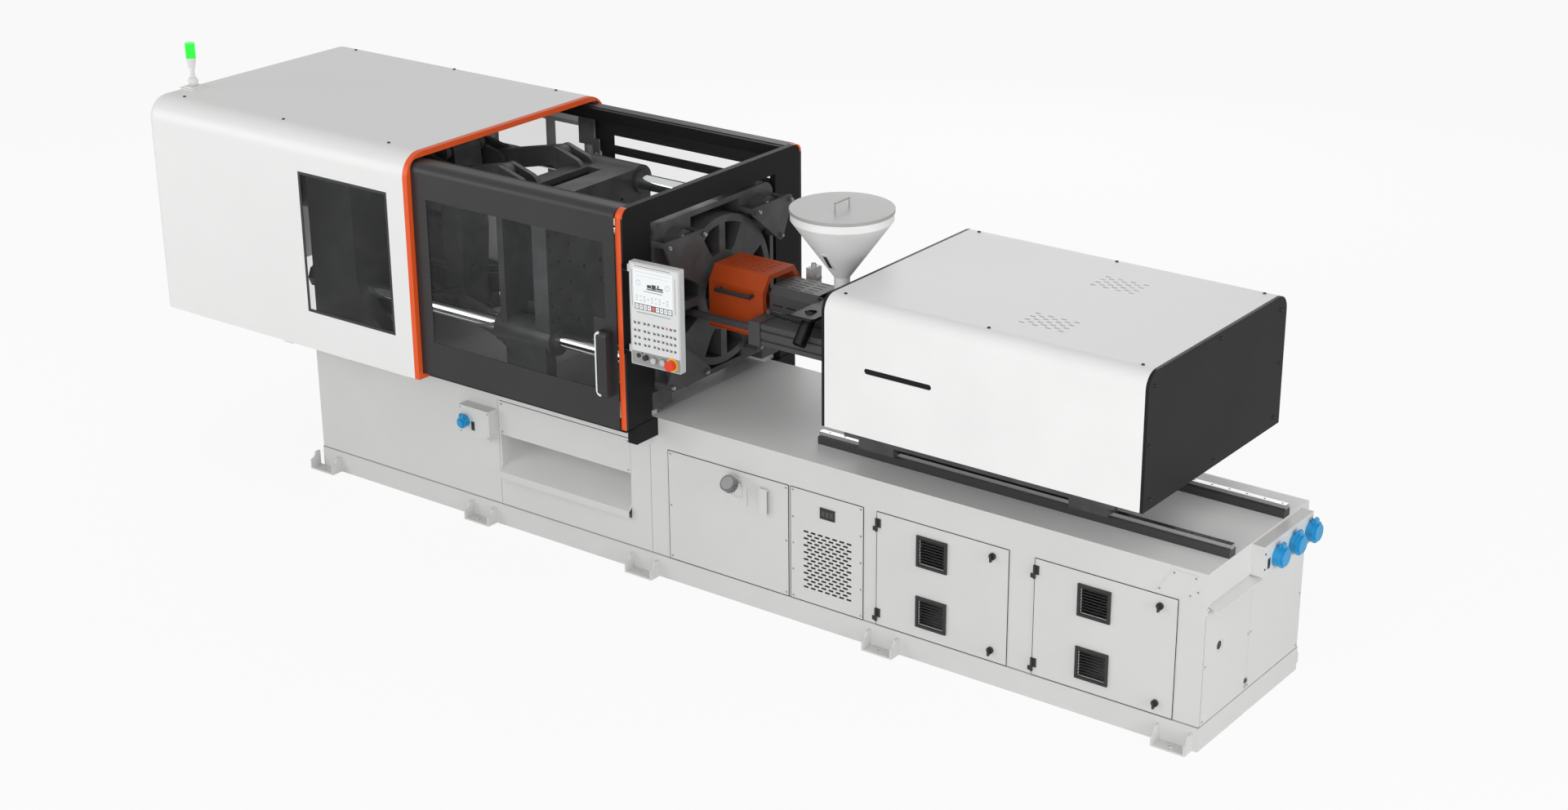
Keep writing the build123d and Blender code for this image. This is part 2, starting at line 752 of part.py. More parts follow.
# Sliding doors: folded sheet with a window, carried on the rails by its upper fold and lower lip
door_lip = 60.0
door_end = frame_x - 1
window_notch = (-444.0, 1290.0)
rear_bar_z = (1543.0, 1587.0)
with BuildPart() as rear_door:
    with BuildSketch(Plane.YZ.offset(door_left_end)) as section:
        with BuildLine():
            Polyline(
                (door_front_y, frame_low),
                (door_front_y, frame_top),
                (door_front_y - door_fold, frame_top),
                (door_front_y - door_fold, frame_top - sheet),
                (door_front_y - sheet, frame_top - sheet),
                (door_front_y - sheet, frame_low + sheet),
                (door_front_y - door_lip, frame_low + sheet),
                (door_front_y - door_lip, frame_low),
                close=True,
            )
        make_face()
        fillet(section.vertices().sort_by_distance((door_front_y, frame_top))[0], door_edge_radius)
        inside = section.vertices().sort_by_distance((door_front_y - sheet, frame_top - sheet))[0]
        fillet(inside, door_edge_radius - sheet)
    extrude(amount=door_end - door_left_end)
    with BuildSketch(Plane.XZ.offset(-door_front_y)):
        with BuildLine():
            Polyline(
                (door_window_span[0], door_window_low),
                (door_window_span[0], door_window_high),
                (door_window_span[1], door_window_high),
                (door_window_span[1], window_notch[1]),
                (window_notch[0], window_notch[1]),
                (window_notch[0], door_window_low),
                close=True,
            )
        make_face()
    extrude(amount=sheet, mode=Mode.SUBTRACT)

pane_y = (door_front_y - sheet - fit - pane_thickness, door_front_y - sheet - fit)
with BuildPart() as rear_pane:
    block(
        (door_window_span[0] - pane_lap, door_window_span[1] + pane_lap),
        pane_y,
        (door_window_low - pane_lap, door_window_high + pane_lap),
    )

with BuildPart() as front_door:
    mirror(rear_door.part, about=Plane.XZ)
front_door.part.label = "front_door"
export_step(front_door.part, "parts/front_door.step")

with BuildPart() as front_door_pane:
    mirror(rear_pane.part, about=Plane.XZ)
front_door_pane.part.label = "front_door_pane"
export_step(front_door_pane.part, "parts/front_door_pane.step")

# The rear door has a bar across its window, and its pane lies in the same node
with BuildPart() as rear_door_set:
    add(rear_door.part)
    block(door_window_span, (door_front_y - sheet, door_front_y), rear_bar_z)
    add(rear_pane.part)
rear_door_set.part.label = "rear_door"
export_step(rear_door_set.part, "parts/rear_door.step")

# Bow handle of the front door: dark grip body with a chrome bow along its edge
handle_x = (-396.0, -340.0)
handle_z = (942.0, 1240.0)
handle_reach = 46.0
handle_round = 22.0
bow_radius = 8.0
bow_inset = 10.0
with BuildPart() as front_handle:
    grip_y = -door_front_y
    block(handle_x, (grip_y - handle_reach, grip_y), handle_z)
    fillet(front_handle.edges().filter_by(Axis.X).group_by(Axis.Y)[0], handle_round)
    bow_x = handle_x[0] - bow_radius / 2
    bow_y = grip_y - handle_reach + handle_round
    bar_z(bow_x, bow_y, bow_radius, (handle_z[0] + bow_inset, handle_z[1] - bow_inset))
    for z in (handle_z[0] + bow_inset, handle_z[1] - bow_inset):
        bar_y(bow_x, z, bow_radius - 1, (bow_y, grip_y))
front_handle.part.label = "front_handle"
export_step(front_handle.part, "parts/front_handle.step")

# Toggle geometry at rest
reach = link_length * cos(radians(fold_at_rest))
knee_drop = link_length * sin(radians(fold_at_rest))
lobe_reach = lobe_length * cos(radians(fold_at_rest + lobe_angle))
lobe_drop = lobe_length * sin(radians(fold_at_rest + lobe_angle))
knee_x = tail_pivot_x + reach
platen_pivot_x = tail_pivot_x + 2 * reach
lobe_x = tail_pivot_x + lobe_reach
crosshead_x = tail_pivot_x + 2 * lobe_reach
pin_overhang = 4.0
cross_pin_overhang = 2.0
open_fit = 0.5


def link_outline(y, eyes):
    """The outline of a link drawn round its eyes, on the plane at y."""
    with BuildSketch(Plane.XZ.offset(-y)) as outline:
        for x, z, radius in eyes:
            with Locations((x, z)):
                Circle(radius)
        make_hull()
    return outline.sketch


def link_plate(layer, side, eyes, mode=Mode.ADD):
    """A flat link in one layer of the toggle, for the open builder."""
    span = sorted(both(layer, side))
    extrude(link_outline(span[1], eyes), amount=span[1] - span[0], mode=mode)


for name, up in (("upper", 1), ("lower", -1)):
    pivot_z = axis_z + up * pivot_rise
    knee_z = axis_z + up * (pivot_rise - knee_drop)
    lobe_z = axis_z + up * (pivot_rise - lobe_drop)
    lobe_clearance = running_fit if up > 0 else open_fit

    with BuildPart() as rear_link:
        for side in (-1, 1):
            arm = [(tail_pivot_x, pivot_z, eye_radius), (knee_x, knee_z, knee_radius)]
            link_plate(inner_layer, side, arm)
            link_plate(outer_layer, side, arm)
            link_plate(inner_layer, side, [(tail_pivot_x, pivot_z, eye_radius), (lobe_x, lobe_z, cross_eye)])
            pin_span = both((inner_layer[0] - pin_overhang, outer_layer[1] + pin_overhang), side)
            bar_y(tail_pivot_x, pivot_z, pin_radius, pin_span)
            bar_y(knee_x, knee_z, pin_radius, pin_span)
            lobe_span = both((cross_layer[0] - cross_pin_overhang, inner_layer[1]), side)
            bar_y(lobe_x, lobe_z, cross_pin, lobe_span)
    rear_link.part.label = f"{name}_rear_link"
    export_step(rear_link.part, f"parts/{name}_rear_link.step")

    with BuildPart() as front_link:
        for side in (-1, 1):
            arm = [(platen_pivot_x, pivot_z, eye_radius), (knee_x, knee_z, knee_radius)]
            link_plate(front_layer, side, arm)
            bar_y(knee_x, knee_z, pin_radius + running_fit, both(front_layer, side), mode=Mode.SUBTRACT)
            pin_span = both((inner_layer[0] - pin_overhang, outer_layer[1] + pin_overhang), side)
            bar_y(platen_pivot_x, pivot_z, pin_radius, pin_span)
    front_link.part.label = f"{name}_front_link"
    export_step(front_link.part, f"parts/{name}_front_link.step")

    with BuildPart() as cross_link:
        for side in (-1, 1):
            link_plate(cross_layer, side, [(lobe_x, lobe_z, cross_eye), (crosshead_x, pivot_z, cross_eye)])
            bar_y(lobe_x, lobe_z, cross_pin + lobe_clearance, both(cross_layer, side), mode=Mode.SUBTRACT)
            bar_y(crosshead_x, pivot_z, cross_pin + running_fit, both(cross_layer, side), mode=Mode.SUBTRACT)
    cross_link.part.label = f"{name}_cross_link"
    export_step(cross_link.part, f"parts/{name}_cross_link.step")

# Crosshead: yoke on two guide rods, with the piston and rod of the clamp cylinder
crosshead_waist = 70.0
crosshead_tip = 42.0
piston_span = (-2720.0, -2680.0)
piston_radius = 70.0
with BuildPart() as crosshead:
    for up in (-1, 1):
        tip_z = axis_z + up * pivot_rise
        eyes = [(crosshead_x, tip_z, crosshead_tip), (crosshead_x, axis_z, crosshead_waist)]
        extrude(link_outline(crosshead_side, eyes), amount=2 * crosshead_side)
        pin_end = cross_layer[1] + cross_pin_overhang
        bar_y(crosshead_x, tip_z, cross_pin, (-pin_end, pin_end))
        guide_span = (crosshead_x - crosshead_waist, crosshead_x + crosshead_waist)
        bar_x(0, axis_z + up * guide_rod_z, guide_rod_radius + fit, guide_span, mode=Mode.SUBTRACT)
    bar_x(0, axis_z, piston_rod_radius, (piston_span[0], crosshead_x - crosshead_waist / 2))
    bar_x(0, axis_z, piston_radius, piston_span)
crosshead.part.label = "crosshead"
export_step(crosshead.part, "parts/crosshead.step")

# Clamp cylinder on the back of the tail stock
cylinder_back = -3000.0
cylinder_wall = 26.0
cylinder_cap = 28.0
gland_length = 37.0
flange_half = 120.0
flange_thickness = 30.0
with BuildPart() as clamp_cylinder:
    bar_x(0, axis_z, piston_radius + cylinder_wall, (cylinder_back, tail_back))
    flange_z = (axis_z - flange_half, axis_z + flange_half)
    block((tail_back - flange_thickness, tail_back), (-flange_half, flange_half), flange_z)
    cavity = (cylinder_back + cylinder_cap, tail_back - gland_length)
    bar_x(0, axis_z, piston_radius + fit, cavity, mode=Mode.SUBTRACT)
    bar_x(0, axis_z, piston_rod_radius + fit, (cavity[1], tail_back), mode=Mode.SUBTRACT)
clamp_cylinder.part.label = "clamp_cylinder"
export_step(clamp_cylinder.part, "parts/clamp_cylinder.step")

# Tail stock: casting on two flared feet, with the ears of the rear links and the guide rods
foot_low = bed_top + slideway_rise + fit
tail_foot_reach = 190.0
tail_foot_side = 82.0
tail_foot_toe = 90.0
tail_flare = 360.0
tail_corner = 90.0
tail_low = 800.0
tail_pocket = 120.0
tail_pocket_y = 136.0
tail_pocket_z = (250.0, 350.0)
ear_root_radius = 62.0
guide_rod_end = -1760.0
rod_bore = piston_rod_radius + 20
with BuildPart() as tail_stock:
    with BuildSketch(Plane.YZ.offset(tail_back)):
        with Locations((0, (tail_low + axis_z + tail_half_z) / 2)):
            RectangleRounded(2 * tail_half_y, axis_z + tail_half_z - tail_low, tail_corner)
    extrude(amount=tail_face - tail_back)
    toe_x = tail_face + tail_foot_reach
    for side in (-1, 1):
        cheek = sorted(both((tail_half_y - tail_foot_side, tail_half_y), side))
        with BuildSketch(Plane.XZ.offset(-cheek[1])):
            with BuildLine():
                flare_top = (tail_face, foot_low + tail_flare)
                TangentArc(flare_top, (toe_x, foot_low + tail_foot_toe), tangent=(0, -1))
                Polyline(
                    (toe_x, foot_low + tail_foot_toe),
                    (toe_x, foot_low),
                    (tail_back, foot_low),
                    (tail_back, foot_low + tail_flare),
                    flare_top,
                )
            make_face()
        extrude(amount=tail_foot_side)
        for up in (-1, 1):
            pivot_z = axis_z + up * pivot_rise
            root_z = axis_z + up * (pivot_rise - 28)
            root = (tail_face - 20, root_z, ear_root_radius)
            link_plate(front_layer, side, [(tail_pivot_x, pivot_z, eye_radius), root])
            eye_bore = pin_radius + running_fit
            bar_y(tail_pivot_x, pivot_z, eye_bore, both(front_layer, side), mode=Mode.SUBTRACT)
            bar_place = (side * bar_pitch, axis_z + up * bar_pitch)
            bar_x(*bar_place, bar_radius + fit, (tail_back, toe_x), mode=Mode.SUBTRACT)
    bar_x(0, axis_z, rod_bore, (tail_back, tail_face), mode=Mode.SUBTRACT)
    for up in (-1, 1):
        pocket_z = sorted((axis_z + up * tail_pocket_z[0], axis_z + up * tail_pocket_z[1]))
        pocket_x = (tail_face - tail_pocket, tail_face)
        block(pocket_x, (-tail_pocket_y, tail_pocket_y), pocket_z, mode=Mode.SUBTRACT)
        bar_x(0, axis_z + up * guide_rod_z, guide_rod_radius, (tail_face - 60, guide_rod_end))
tail_stock.part.label = "tail_stock"
export_step(tail_stock.part, "parts/tail_stock.step")

# Tie bars with a nut at each end
bar_corners = [(y * bar_pitch, axis_z + z * bar_pitch) for y in (-1, 1) for z in (-1, 1)]
nut_length = 66.0
nut_radius = 64.0
bar_proud = 7.0
bar_span = (tail_back - nut_length - bar_proud, platen_front + nut_length + bar_proud)
with BuildPart() as tie_bars:
    for place in bar_corners:
        bar_x(*place, bar_radius, bar_span)
    for start in (tail_back - nut_length, platen_front):
        with BuildSketch(Plane.YZ.offset(start)):
            with Locations(*bar_corners):
                RegularPolygon(nut_radius, 8)
                Circle(bar_radius + running_fit, mode=Mode.SUBTRACT)
        extrude(amount=nut_length)
tie_bars.part.label = "tie_bars"
export_step(tie_bars.part, "parts/tie_bars.step")

# Nut plates: a triangular plate on three stand-offs before each nut
nut_plate_x = -205.0
nut_plate_thickness = 12.0
nut_plate_corner = 22.0
standoff_radius = 13.0
standoff_proud = 9.0
standoffs = ((-120.0, 18.0), (131.0, 20.0), (64.0, -134.0))
with BuildPart() as nut_plates:
    for side in (-1, 1):
        for up in (-1, 1):
            spots = [(side * (bar_pitch + y), axis_z + up * (bar_pitch + z)) for y, z in standoffs]
            with BuildSketch(Plane.YZ.offset(nut_plate_x)):
                with Locations(*spots):
                    Circle(nut_plate_corner)
                make_hull()
            extrude(amount=nut_plate_thickness)
            for y, z in spots:
                standoff_end = nut_plate_x + nut_plate_thickness + standoff_proud
                bar_x(y, z, standoff_radius, (platen_front, standoff_end))
nut_plates.part.label = "nut_plates"
export_step(nut_plates.part, "parts/nut_plates.step")

# Fixed platen: spoked casting, open between the spokes towards the injection unit, with the carriage rods
platen_corner = 60.0
platen_rim = 25.0
platen_recess = 105.0
boss_half = 130.0
hub_recess_radius = 125.0
hub_recess_depth = 90.0
spoke_count = 12
diagonal_width = 150.0
platen_foot_y = (330.0, 462.0)
platen_foot_top = 905.0
lifting_x = (-463.0, -320.0)
lifting_y = (110.0, 345.0)
lifting_top = 1702.0
rod_end = 545.0
rod_head_radius = 29.0
rod_head = 25.0
guard_hinge = (guard_half_y + 9, guard_shoulder - 10)
guard_pin_radius = 8.0
guard_pin_end = -60.0
with BuildPart() as fixed_platen:
    with BuildSketch(Plane.YZ.offset(mould_face)):
        with Locations((0, axis_z)):
            RectangleRounded(2 * platen_half_y, 2 * platen_half_z, platen_corner)
    extrude(amount=platen_front - mould_face)
    with BuildSketch(Plane.YZ.offset(platen_front)):
        with Locations((0, axis_z)):
            inner_corner = platen_corner - platen_rim
            RectangleRounded(2 * (platen_half_y - platen_rim), 2 * (platen_half_z - platen_rim), inner_corner)
            Circle(ring_radius, mode=Mode.SUBTRACT)
        with Locations(*bar_corners):
            Rectangle(2 * boss_half, 2 * boss_half, mode=Mode.SUBTRACT)
    extrude(amount=-platen_recess, mode=Mode.SUBTRACT)
    bar_x(0, axis_z, ring_radius, (mould_face, hub_face))
    with BuildSketch(Plane.YZ.offset(hub_face)):
        with Locations((0, axis_z)):
            Circle(pocket_outer)
            Circle(pocket_inner, mode=Mode.SUBTRACT)
            with PolarLocations(0, spoke_count):
                with Locations((pocket_outer / 2, 0)):
                    Rectangle(pocket_outer, spoke_width, mode=Mode.SUBTRACT)
            with PolarLocations(0, 4, start_angle=45):
                with Locations((pocket_outer / 2, 0)):
                    Rectangle(pocket_outer, diagonal_width, mode=Mode.SUBTRACT)
    extrude(amount=-(hub_face - mould_face - platen_web), mode=Mode.SUBTRACT)
    bar_x(0, axis_z, hub_recess_radius, (hub_face - hub_recess_depth, hub_face), mode=Mode.SUBTRACT)
    bar_x(0, axis_z, nozzle_bore, (mould_face, hub_face), mode=Mode.SUBTRACT)
    for side in (-1, 1):
        foot_z = (table_top + pad_height, platen_foot_top)
        block((mould_face, platen_front), both(platen_foot_y, side), foot_z)
        bar_x(side * cylinder_y, cylinder_z, cylinder_rod, (mould_face + platen_web, rod_end))
        bar_x(side * cylinder_y, cylinder_z, rod_head_radius, (rod_end - rod_head, rod_end))
    block(lifting_x, lifting_y, (axis_z + platen_half_z - 5, lifting_top))
    for place in bar_corners:
        bar_x(*place, bar_radius + fit, (mould_face, platen_front), mode=Mode.SUBTRACT)
    bar_x(*guard_hinge, guard_pin_radius, (hub_face, guard_pin_end))
fixed_platen.part.label = "fixed_platen"
export_step(fixed_platen.part, "parts/fixed_platen.step")

# Moving platen: box casting with tie-bar housings, ears for the front links, feet and ejector cylinder
rear_wall = 36.0
web_thickness = 30.0
web_y = 250.0
web_opening_y = 170.0
side_web_y = 210.0
side_web_reach = 190.0
bush_proud = 15.0
bush_wall = 17.0
moving_corner = 50.0
ear_root_inset = 18.0
ear_root_drop = 50.0
moving_foot_x = (-1230.0, -985.0)
moving_foot_y = (311.0, 379.0)
ejector_boss = 110.0
ejector_boss_half = 60.0
ejector_piston = 18.0
platen_back = moving_face - moving_depth
mould_bolt_radius = 8.0
mould_bolt_depth = 25.0
mould_bolts = (
    (84, 204), (165, 248), (223, 204), (298, 204), (347, 204),
    (219, 134), (347, 134), (286, 67), (347, 67), (211, 48),
)
knockout_radius = 13.0
knockout_pitch = (113.0, 96.0)
ejector_places = [(y * ejector_rod_pitch, axis_z + z * ejector_rod_pitch) for y in (-1, 1) for z in (-1, 1)]
with BuildPart() as moving_platen:
    for x in ((moving_face - moving_plate, moving_face), (platen_back, platen_back + rear_wall)):
        with BuildSketch(Plane.YZ.offset(x[0])):
            with Locations((0, axis_z)):
                RectangleRounded(2 * moving_half, 2 * moving_half, moving_corner)
        extrude(amount=x[1] - x[0])
    housing = (moving_face + bush_proud - housing_length, moving_face)
    for place in bar_corners:
        bar_x(*place, housing_radius, housing)
        bar_x(*place, bar_radius + bush_wall, (moving_face, moving_face + bush_proud))
    for up in (-1, 1):
        web_z = sorted((axis_z + up * moving_half, axis_z + up * (moving_half - web_thickness)))
        block((platen_back, moving_face), (-web_y, web_y), web_z)
        opening_x = (platen_back + 90, moving_face - moving_plate - 40)
        block(opening_x, (-web_opening_y, web_opening_y), web_z, mode=Mode.SUBTRACT)
        rib_z = sorted((axis_z + up * side_web_reach, axis_z + up * moving_half))
        for side in (-1, 1):
            rib_y = (side * side_web_y - web_thickness / 2, side * side_web_y + web_thickness / 2)
            block((platen_back, moving_face), rib_y, rib_z)
    for side in (-1, 1):
        block(moving_foot_x, both(moving_foot_y, side), (foot_low, axis_z - moving_half + 40))
        for up in (-1, 1):
            pivot_z = axis_z + up * pivot_rise
            root = (platen_back + ear_root_inset, pivot_z - up * ear_root_drop, ear_root_radius)
            bore = pin_radius + (running_fit if up > 0 else open_fit)
            for layer in (inner_layer, outer_layer):
                link_plate(layer, side, [(platen_pivot_x, pivot_z, eye_radius), root])
                bar_y(platen_pivot_x, pivot_z, bore, both(layer, side), mode=Mode.SUBTRACT)
    boss_z = (axis_z - ejector_boss_half, axis_z + ejector_boss_half)
    block((platen_back - ejector_boss, platen_back), (-ejector_boss_half, ejector_boss_half), boss_z)
    piston_bore = (platen_back - ejector_boss + 5, platen_back + rear_wall)
    bar_x(0, axis_z, ejector_piston + fit, piston_bore, mode=Mode.SUBTRACT)
    for place in ejector_places:
        bar_x(*place, ejector_rod_radius + fit, (moving_face - moving_plate, moving_face), mode=Mode.SUBTRACT)
    for place in bar_corners:
        bar_x(*place, bar_radius + fit, (housing[0], moving_face + bush_proud), mode=Mode.SUBTRACT)
    for side in (-1, 1):
        for up in (-1, 1):
            for y, z in mould_bolts:
                bolt_x = (moving_face - mould_bolt_depth, moving_face)
                bar_x(side * y, axis_z + up * z, mould_bolt_radius, bolt_x, mode=Mode.SUBTRACT)
    for y, z in ((0, 0), (-1, 0), (1, 0), (0, -1), (0, 1)):
        centre = (y * knockout_pitch[0], axis_z + z * knockout_pitch[1])
        bar_x(*centre, knockout_radius, (moving_face - moving_plate, moving_face), mode=Mode.SUBTRACT)
moving_platen.part.label = "moving_platen"
export_step(moving_platen.part, "parts/moving_platen.step")

# Ejector: plate inside the moving platen with four rods, and its piston behind
ejector_half = 175.0
ejector_gap = 12.0
ejector_x = platen_back + rear_wall + ejector_gap
with BuildPart() as ejector:
    ejector_z = (axis_z - ejector_half, axis_z + ejector_half)
    block((ejector_x, ejector_x + ejector_plate), (-ejector_half, ejector_half), ejector_z)
    for place in ejector_places:
        bar_x(*place, ejector_rod_radius, (ejector_x, moving_face - 5))
    bar_x(0, axis_z, ejector_piston, (platen_back - ejector_boss + 10, ejector_x))
ejector.part.label = "ejector"
export_step(ejector.part, "parts/ejector.step")

# Rails of the injection unit: dark bases with ground heads
rail_head_half = 14.0
with BuildPart() as injection_rails:
    for side in (-1, 1):
        y = side * rail_y
        base_z = (table_top, table_top + rail_base)
        block((rail_start, rail_end), (y - rail_width / 2, y + rail_width / 2), base_z)
        head_z = (table_top + rail_base, table_top + rail_base + rail_head)
        block((rail_start, rail_end), (y - rail_head_half, y + rail_head_half), head_z)
injection_rails.part.label = "injection_rails"
export_step(injection_rails.part, "parts/injection_rails.step")

# Carriage: plate on four runner blocks, housings, feed block, screw drive and the beams of the hood
runner_places = (700.0, 1740.0)
runner_length = 180.0
runner_half = 42.0
runner_grip = 14.0
plate_z = (872.0, 902.0)
plate_y = 300.0
housing_y = 260.0
front_housing = (640.0, 705.0)
front_housing_rise = 200.0
feed_block = (345.0, 640.0)
feed_block_y = 105.0
feed_block_low = 110.0
feed_block_rise = 95.0
feed_throat = 30.0
rear_housing = (1890.0, 1950.0)
rear_housing_rise = 150.0
side_rod_y = 190.0
side_rod_radius = 28.0
drive_span = (1120.0, 1230.0)
drive_half_y = 250.0
drive_half_z = 110.0
motor_end = 1520.0
motor_radius = 105.0
screw_end = 1180.0
beam_places = (760.0, 1905.0)
beam_width = 30.0
beam_z = (hood_low + 6, hood_low + 31)
rail_top = table_top + rail_base + rail_head
feed_top = axis_z + feed_block_rise
with BuildPart() as carriage:
    block(carriage_span, (-plate_y, plate_y), plate_z)
    for start in runner_places:
        for side in (-1, 1):
            y = side * rail_y
            runner_x = (start, start + runner_length)
            block(runner_x, (y - runner_half, y + runner_half), (rail_top - runner_grip, plate_z[0]))
            slot = (y - rail_head_half - fit, y + rail_head_half + fit)
            block(runner_x, slot, (rail_top - runner_grip, rail_top + fit), mode=Mode.SUBTRACT)
    block(front_housing, (-housing_y, housing_y), (plate_z[1], axis_z + front_housing_rise))
    block(feed_block, (-feed_block_y, feed_block_y), (axis_z - feed_block_low, feed_top))
    block(rear_housing, (-housing_y, housing_y), (plate_z[1], axis_z + rear_housing_rise))
    for side in (-1, 1):
        bar_x(side * side_rod_y, axis_z, side_rod_radius, (front_housing[1], rear_housing[0]))
    block(drive_span, (-drive_half_y, drive_half_y), (axis_z - drive_half_z, axis_z + drive_half_z))
    bar_x(0, axis_z, motor_radius, (drive_span[1], motor_end))
    for x in beam_places:
        beam_x = (x, x + beam_width)
        block(beam_x, (-hood_half_y + sheet, hood_half_y - sheet), beam_z)
        for side in (-1, 1):
            block(beam_x, both((housing_y - beam_width, housing_y), side), (plate_z[1], beam_z[0]))
    bar_x(0, axis_z, barrel_radius + fit, (feed_block[0], front_housing[1]), mode=Mode.SUBTRACT)
    bar_x(0, axis_z, bore_radius, (drive_span[0], screw_end + fit), mode=Mode.SUBTRACT)
    bar_z(hopper_x, 0, feed_throat, (axis_z, feed_top), mode=Mode.SUBTRACT)
carriage.part.label = "carriage"
export_step(carriage.part, "parts/carriage.step")

# Barrel with its nozzle, and the screw inside
nozzle_tip = -478.0
nozzle_back = -400.0
nozzle_radius = 24.0
nozzle_nose = (12.0, 14.0)
nozzle_hole = 4.0
feed_opening = 24.0
with BuildPart() as barrel:
    with BuildSketch(Plane.XZ):
        with BuildLine():
            Polyline(
                (nozzle_tip, axis_z),
                (nozzle_tip, axis_z + nozzle_nose[0]),
                (nozzle_tip + nozzle_nose[1], axis_z + nozzle_radius),
                (nozzle_back, axis_z + nozzle_radius),
                (barrel_start, axis_z + barrel_radius),
                (barrel_end, axis_z + barrel_radius),
                (barrel_end, axis_z),
                close=True,
            )
        make_face()
    revolve(axis=Axis((0, 0, axis_z), (1, 0, 0)))
    bar_x(0, axis_z, bore_radius, (barrel_start, barrel_end), mode=Mode.SUBTRACT)
    bar_x(0, axis_z, nozzle_hole, (nozzle_tip, barrel_start), mode=Mode.SUBTRACT)
    bar_z(hopper_x, 0, feed_opening, (axis_z, axis_z + barrel_radius), mode=Mode.SUBTRACT)
barrel.part.label = "barrel"
export_step(barrel.part, "parts/barrel.step")

screw_tip = barrel_start + 27
screw_cone = 40.0
screw_radius = bore_radius - running_fit
with BuildPart() as screw:
    with BuildSketch(Plane.XZ):
        with BuildLine():
            Polyline(
                (screw_tip, axis_z),
                (screw_tip + screw_cone, axis_z + screw_radius),
                (screw_end, axis_z + screw_radius),
                (screw_end, axis_z),
                close=True,
            )
        make_face()
    revolve(axis=Axis((0, 0, axis_z), (1, 0, 0)))
screw.part.label = "screw"
export_step(screw.part, "parts/screw.step")

# Barrel cover: slotted eight-sided sheet tube over the heater bands
tube_chamfer = (25.0, 35.0)
slot_starts = (112.0, 184.0, 256.0)
slot_size = (52.0, 6.0)
top_slots = (-60.0, -30.0, 0.0, 30.0, 60.0)
side_slots = (-30.0, 0.0, 30.0)


def eight_sided(half_y, half_z):
    """An eight-sided outline about the barrel axis."""
    low_y = half_y - tube_chamfer[0]
    low_z = half_z - tube_chamfer[1]
    corners = ((-half_y, -low_z), (-half_y, low_z), (-low_y, half_z), (low_y, half_z))
    with BuildSketch() as outline:
        with BuildLine():
            Polyline(*corners, *[(-y, -z) for y, z in corners], close=True)
        make_face()
    return outline.sketch


with BuildPart() as barrel_cover:
    with BuildSketch(Plane.YZ.offset(cover_tube_span[0])):
        with Locations((0, axis_z)):
            add(eight_sided(cover_tube_half_y, cover_tube_half_z))
            add(eight_sided(cover_tube_half_y - sheet, cover_tube_half_z - sheet), mode=Mode.SUBTRACT)
    extrude(amount=feed_block[0] - cover_tube_span[0])
    for start in slot_starts:
        slot_x = (start, start + slot_size[0])
        tube_top = axis_z + cover_tube_half_z
        for y in top_slots:
            slot_y = (y - slot_size[1] / 2, y + slot_size[1] / 2)
            block(slot_x, slot_y, (tube_top - sheet, tube_top), mode=Mode.SUBTRACT)
        for z in side_slots:
            slot_z = (axis_z + z - slot_size[1] / 2, axis_z + z + slot_size[1] / 2)
            for side in (-1, 1):
                slot_y = both((cover_tube_half_y - sheet, cover_tube_half_y), side)
                block(slot_x, slot_y, slot_z, mode=Mode.SUBTRACT)
barrel_cover.part.label = "barrel_cover"
export_step(barrel_cover.part, "parts/barrel_cover.step")

# Purge guard: folded hood over the nozzle, with an end flange, slots on top, bow handle and hinge
guard_bottom = 1150.0
guard_lip = 7.0
guard_rear_low = guard_shoulder - 30
guard_flange = 24.0
guard_knuckle = 16.0
knuckle_span = (guard_span[0] + 3, guard_span[0] + 60)
guard_slots = (6, 5)
guard_slot_size = (24.0, 5.0)
guard_slot_pitch = (36.0, 28.0)
bow_reach = 32.0
bow_drop = 25.0
bow_tube = 10.0
bow_ends = (guard_span[0] + 70, guard_span[1] - 55)


def guard_outline(inset):
    """The outside of the folded guard, moved inwards by the inset."""
    return (
        (-guard_half_y + inset, guard_bottom),
        (-guard_half_y + inset, guard_shoulder - inset / 2),
        (-guard_flat_y + inset / 2, guard_top - inset),
        (guard_flat_y - inset / 2, guard_top - inset),
        (guard_half_y - inset, guard_shoulder - inset / 2),
        (guard_half_y - inset, guard_rear_low),
    )


with BuildPart() as purge_guard:
    for x, depth, length in (
        (guard_span[0], sheet, guard_span[1] - guard_span[0]),
        (guard_span[1] - sheet, guard_flange, sheet),
    ):
        with BuildSketch(Plane.YZ.offset(x)):
            with BuildLine():
                Polyline(*guard_outline(0), *reversed(guard_outline(depth)), close=True)
            make_face()
        extrude(amount=length)
    lip_y = (-guard_half_y - guard_lip, -guard_half_y + sheet)
    block(guard_span, lip_y, (guard_bottom - sheet, guard_bottom))
    with BuildSketch(Plane.XY.offset(guard_top - sheet)):
        with Locations(((guard_span[0] + guard_span[1]) / 2, 0)):
            with GridLocations(*guard_slot_pitch, *guard_slots):
                Rectangle(*guard_slot_size)
    extrude(amount=sheet, mode=Mode.SUBTRACT)
    bow_y = -guard_half_y - bow_reach
    bow_z = guard_shoulder - bow_drop
    for x in bow_ends:
        bar_y(x, bow_z, bow_tube - 1, (bow_y, -guard_half_y))
    bar_x(bow_y, bow_z, bow_tube, (bow_ends[0] - bow_tube, bow_ends[1] + bow_tube))
    bar_x(*guard_hinge, guard_knuckle, knuckle_span)
    bar_x(*guard_hinge, guard_pin_radius + running_fit, knuckle_span, mode=Mode.SUBTRACT)
purge_guard.part.label = "purge_guard"
export_step(purge_guard.part, "parts/purge_guard.step")

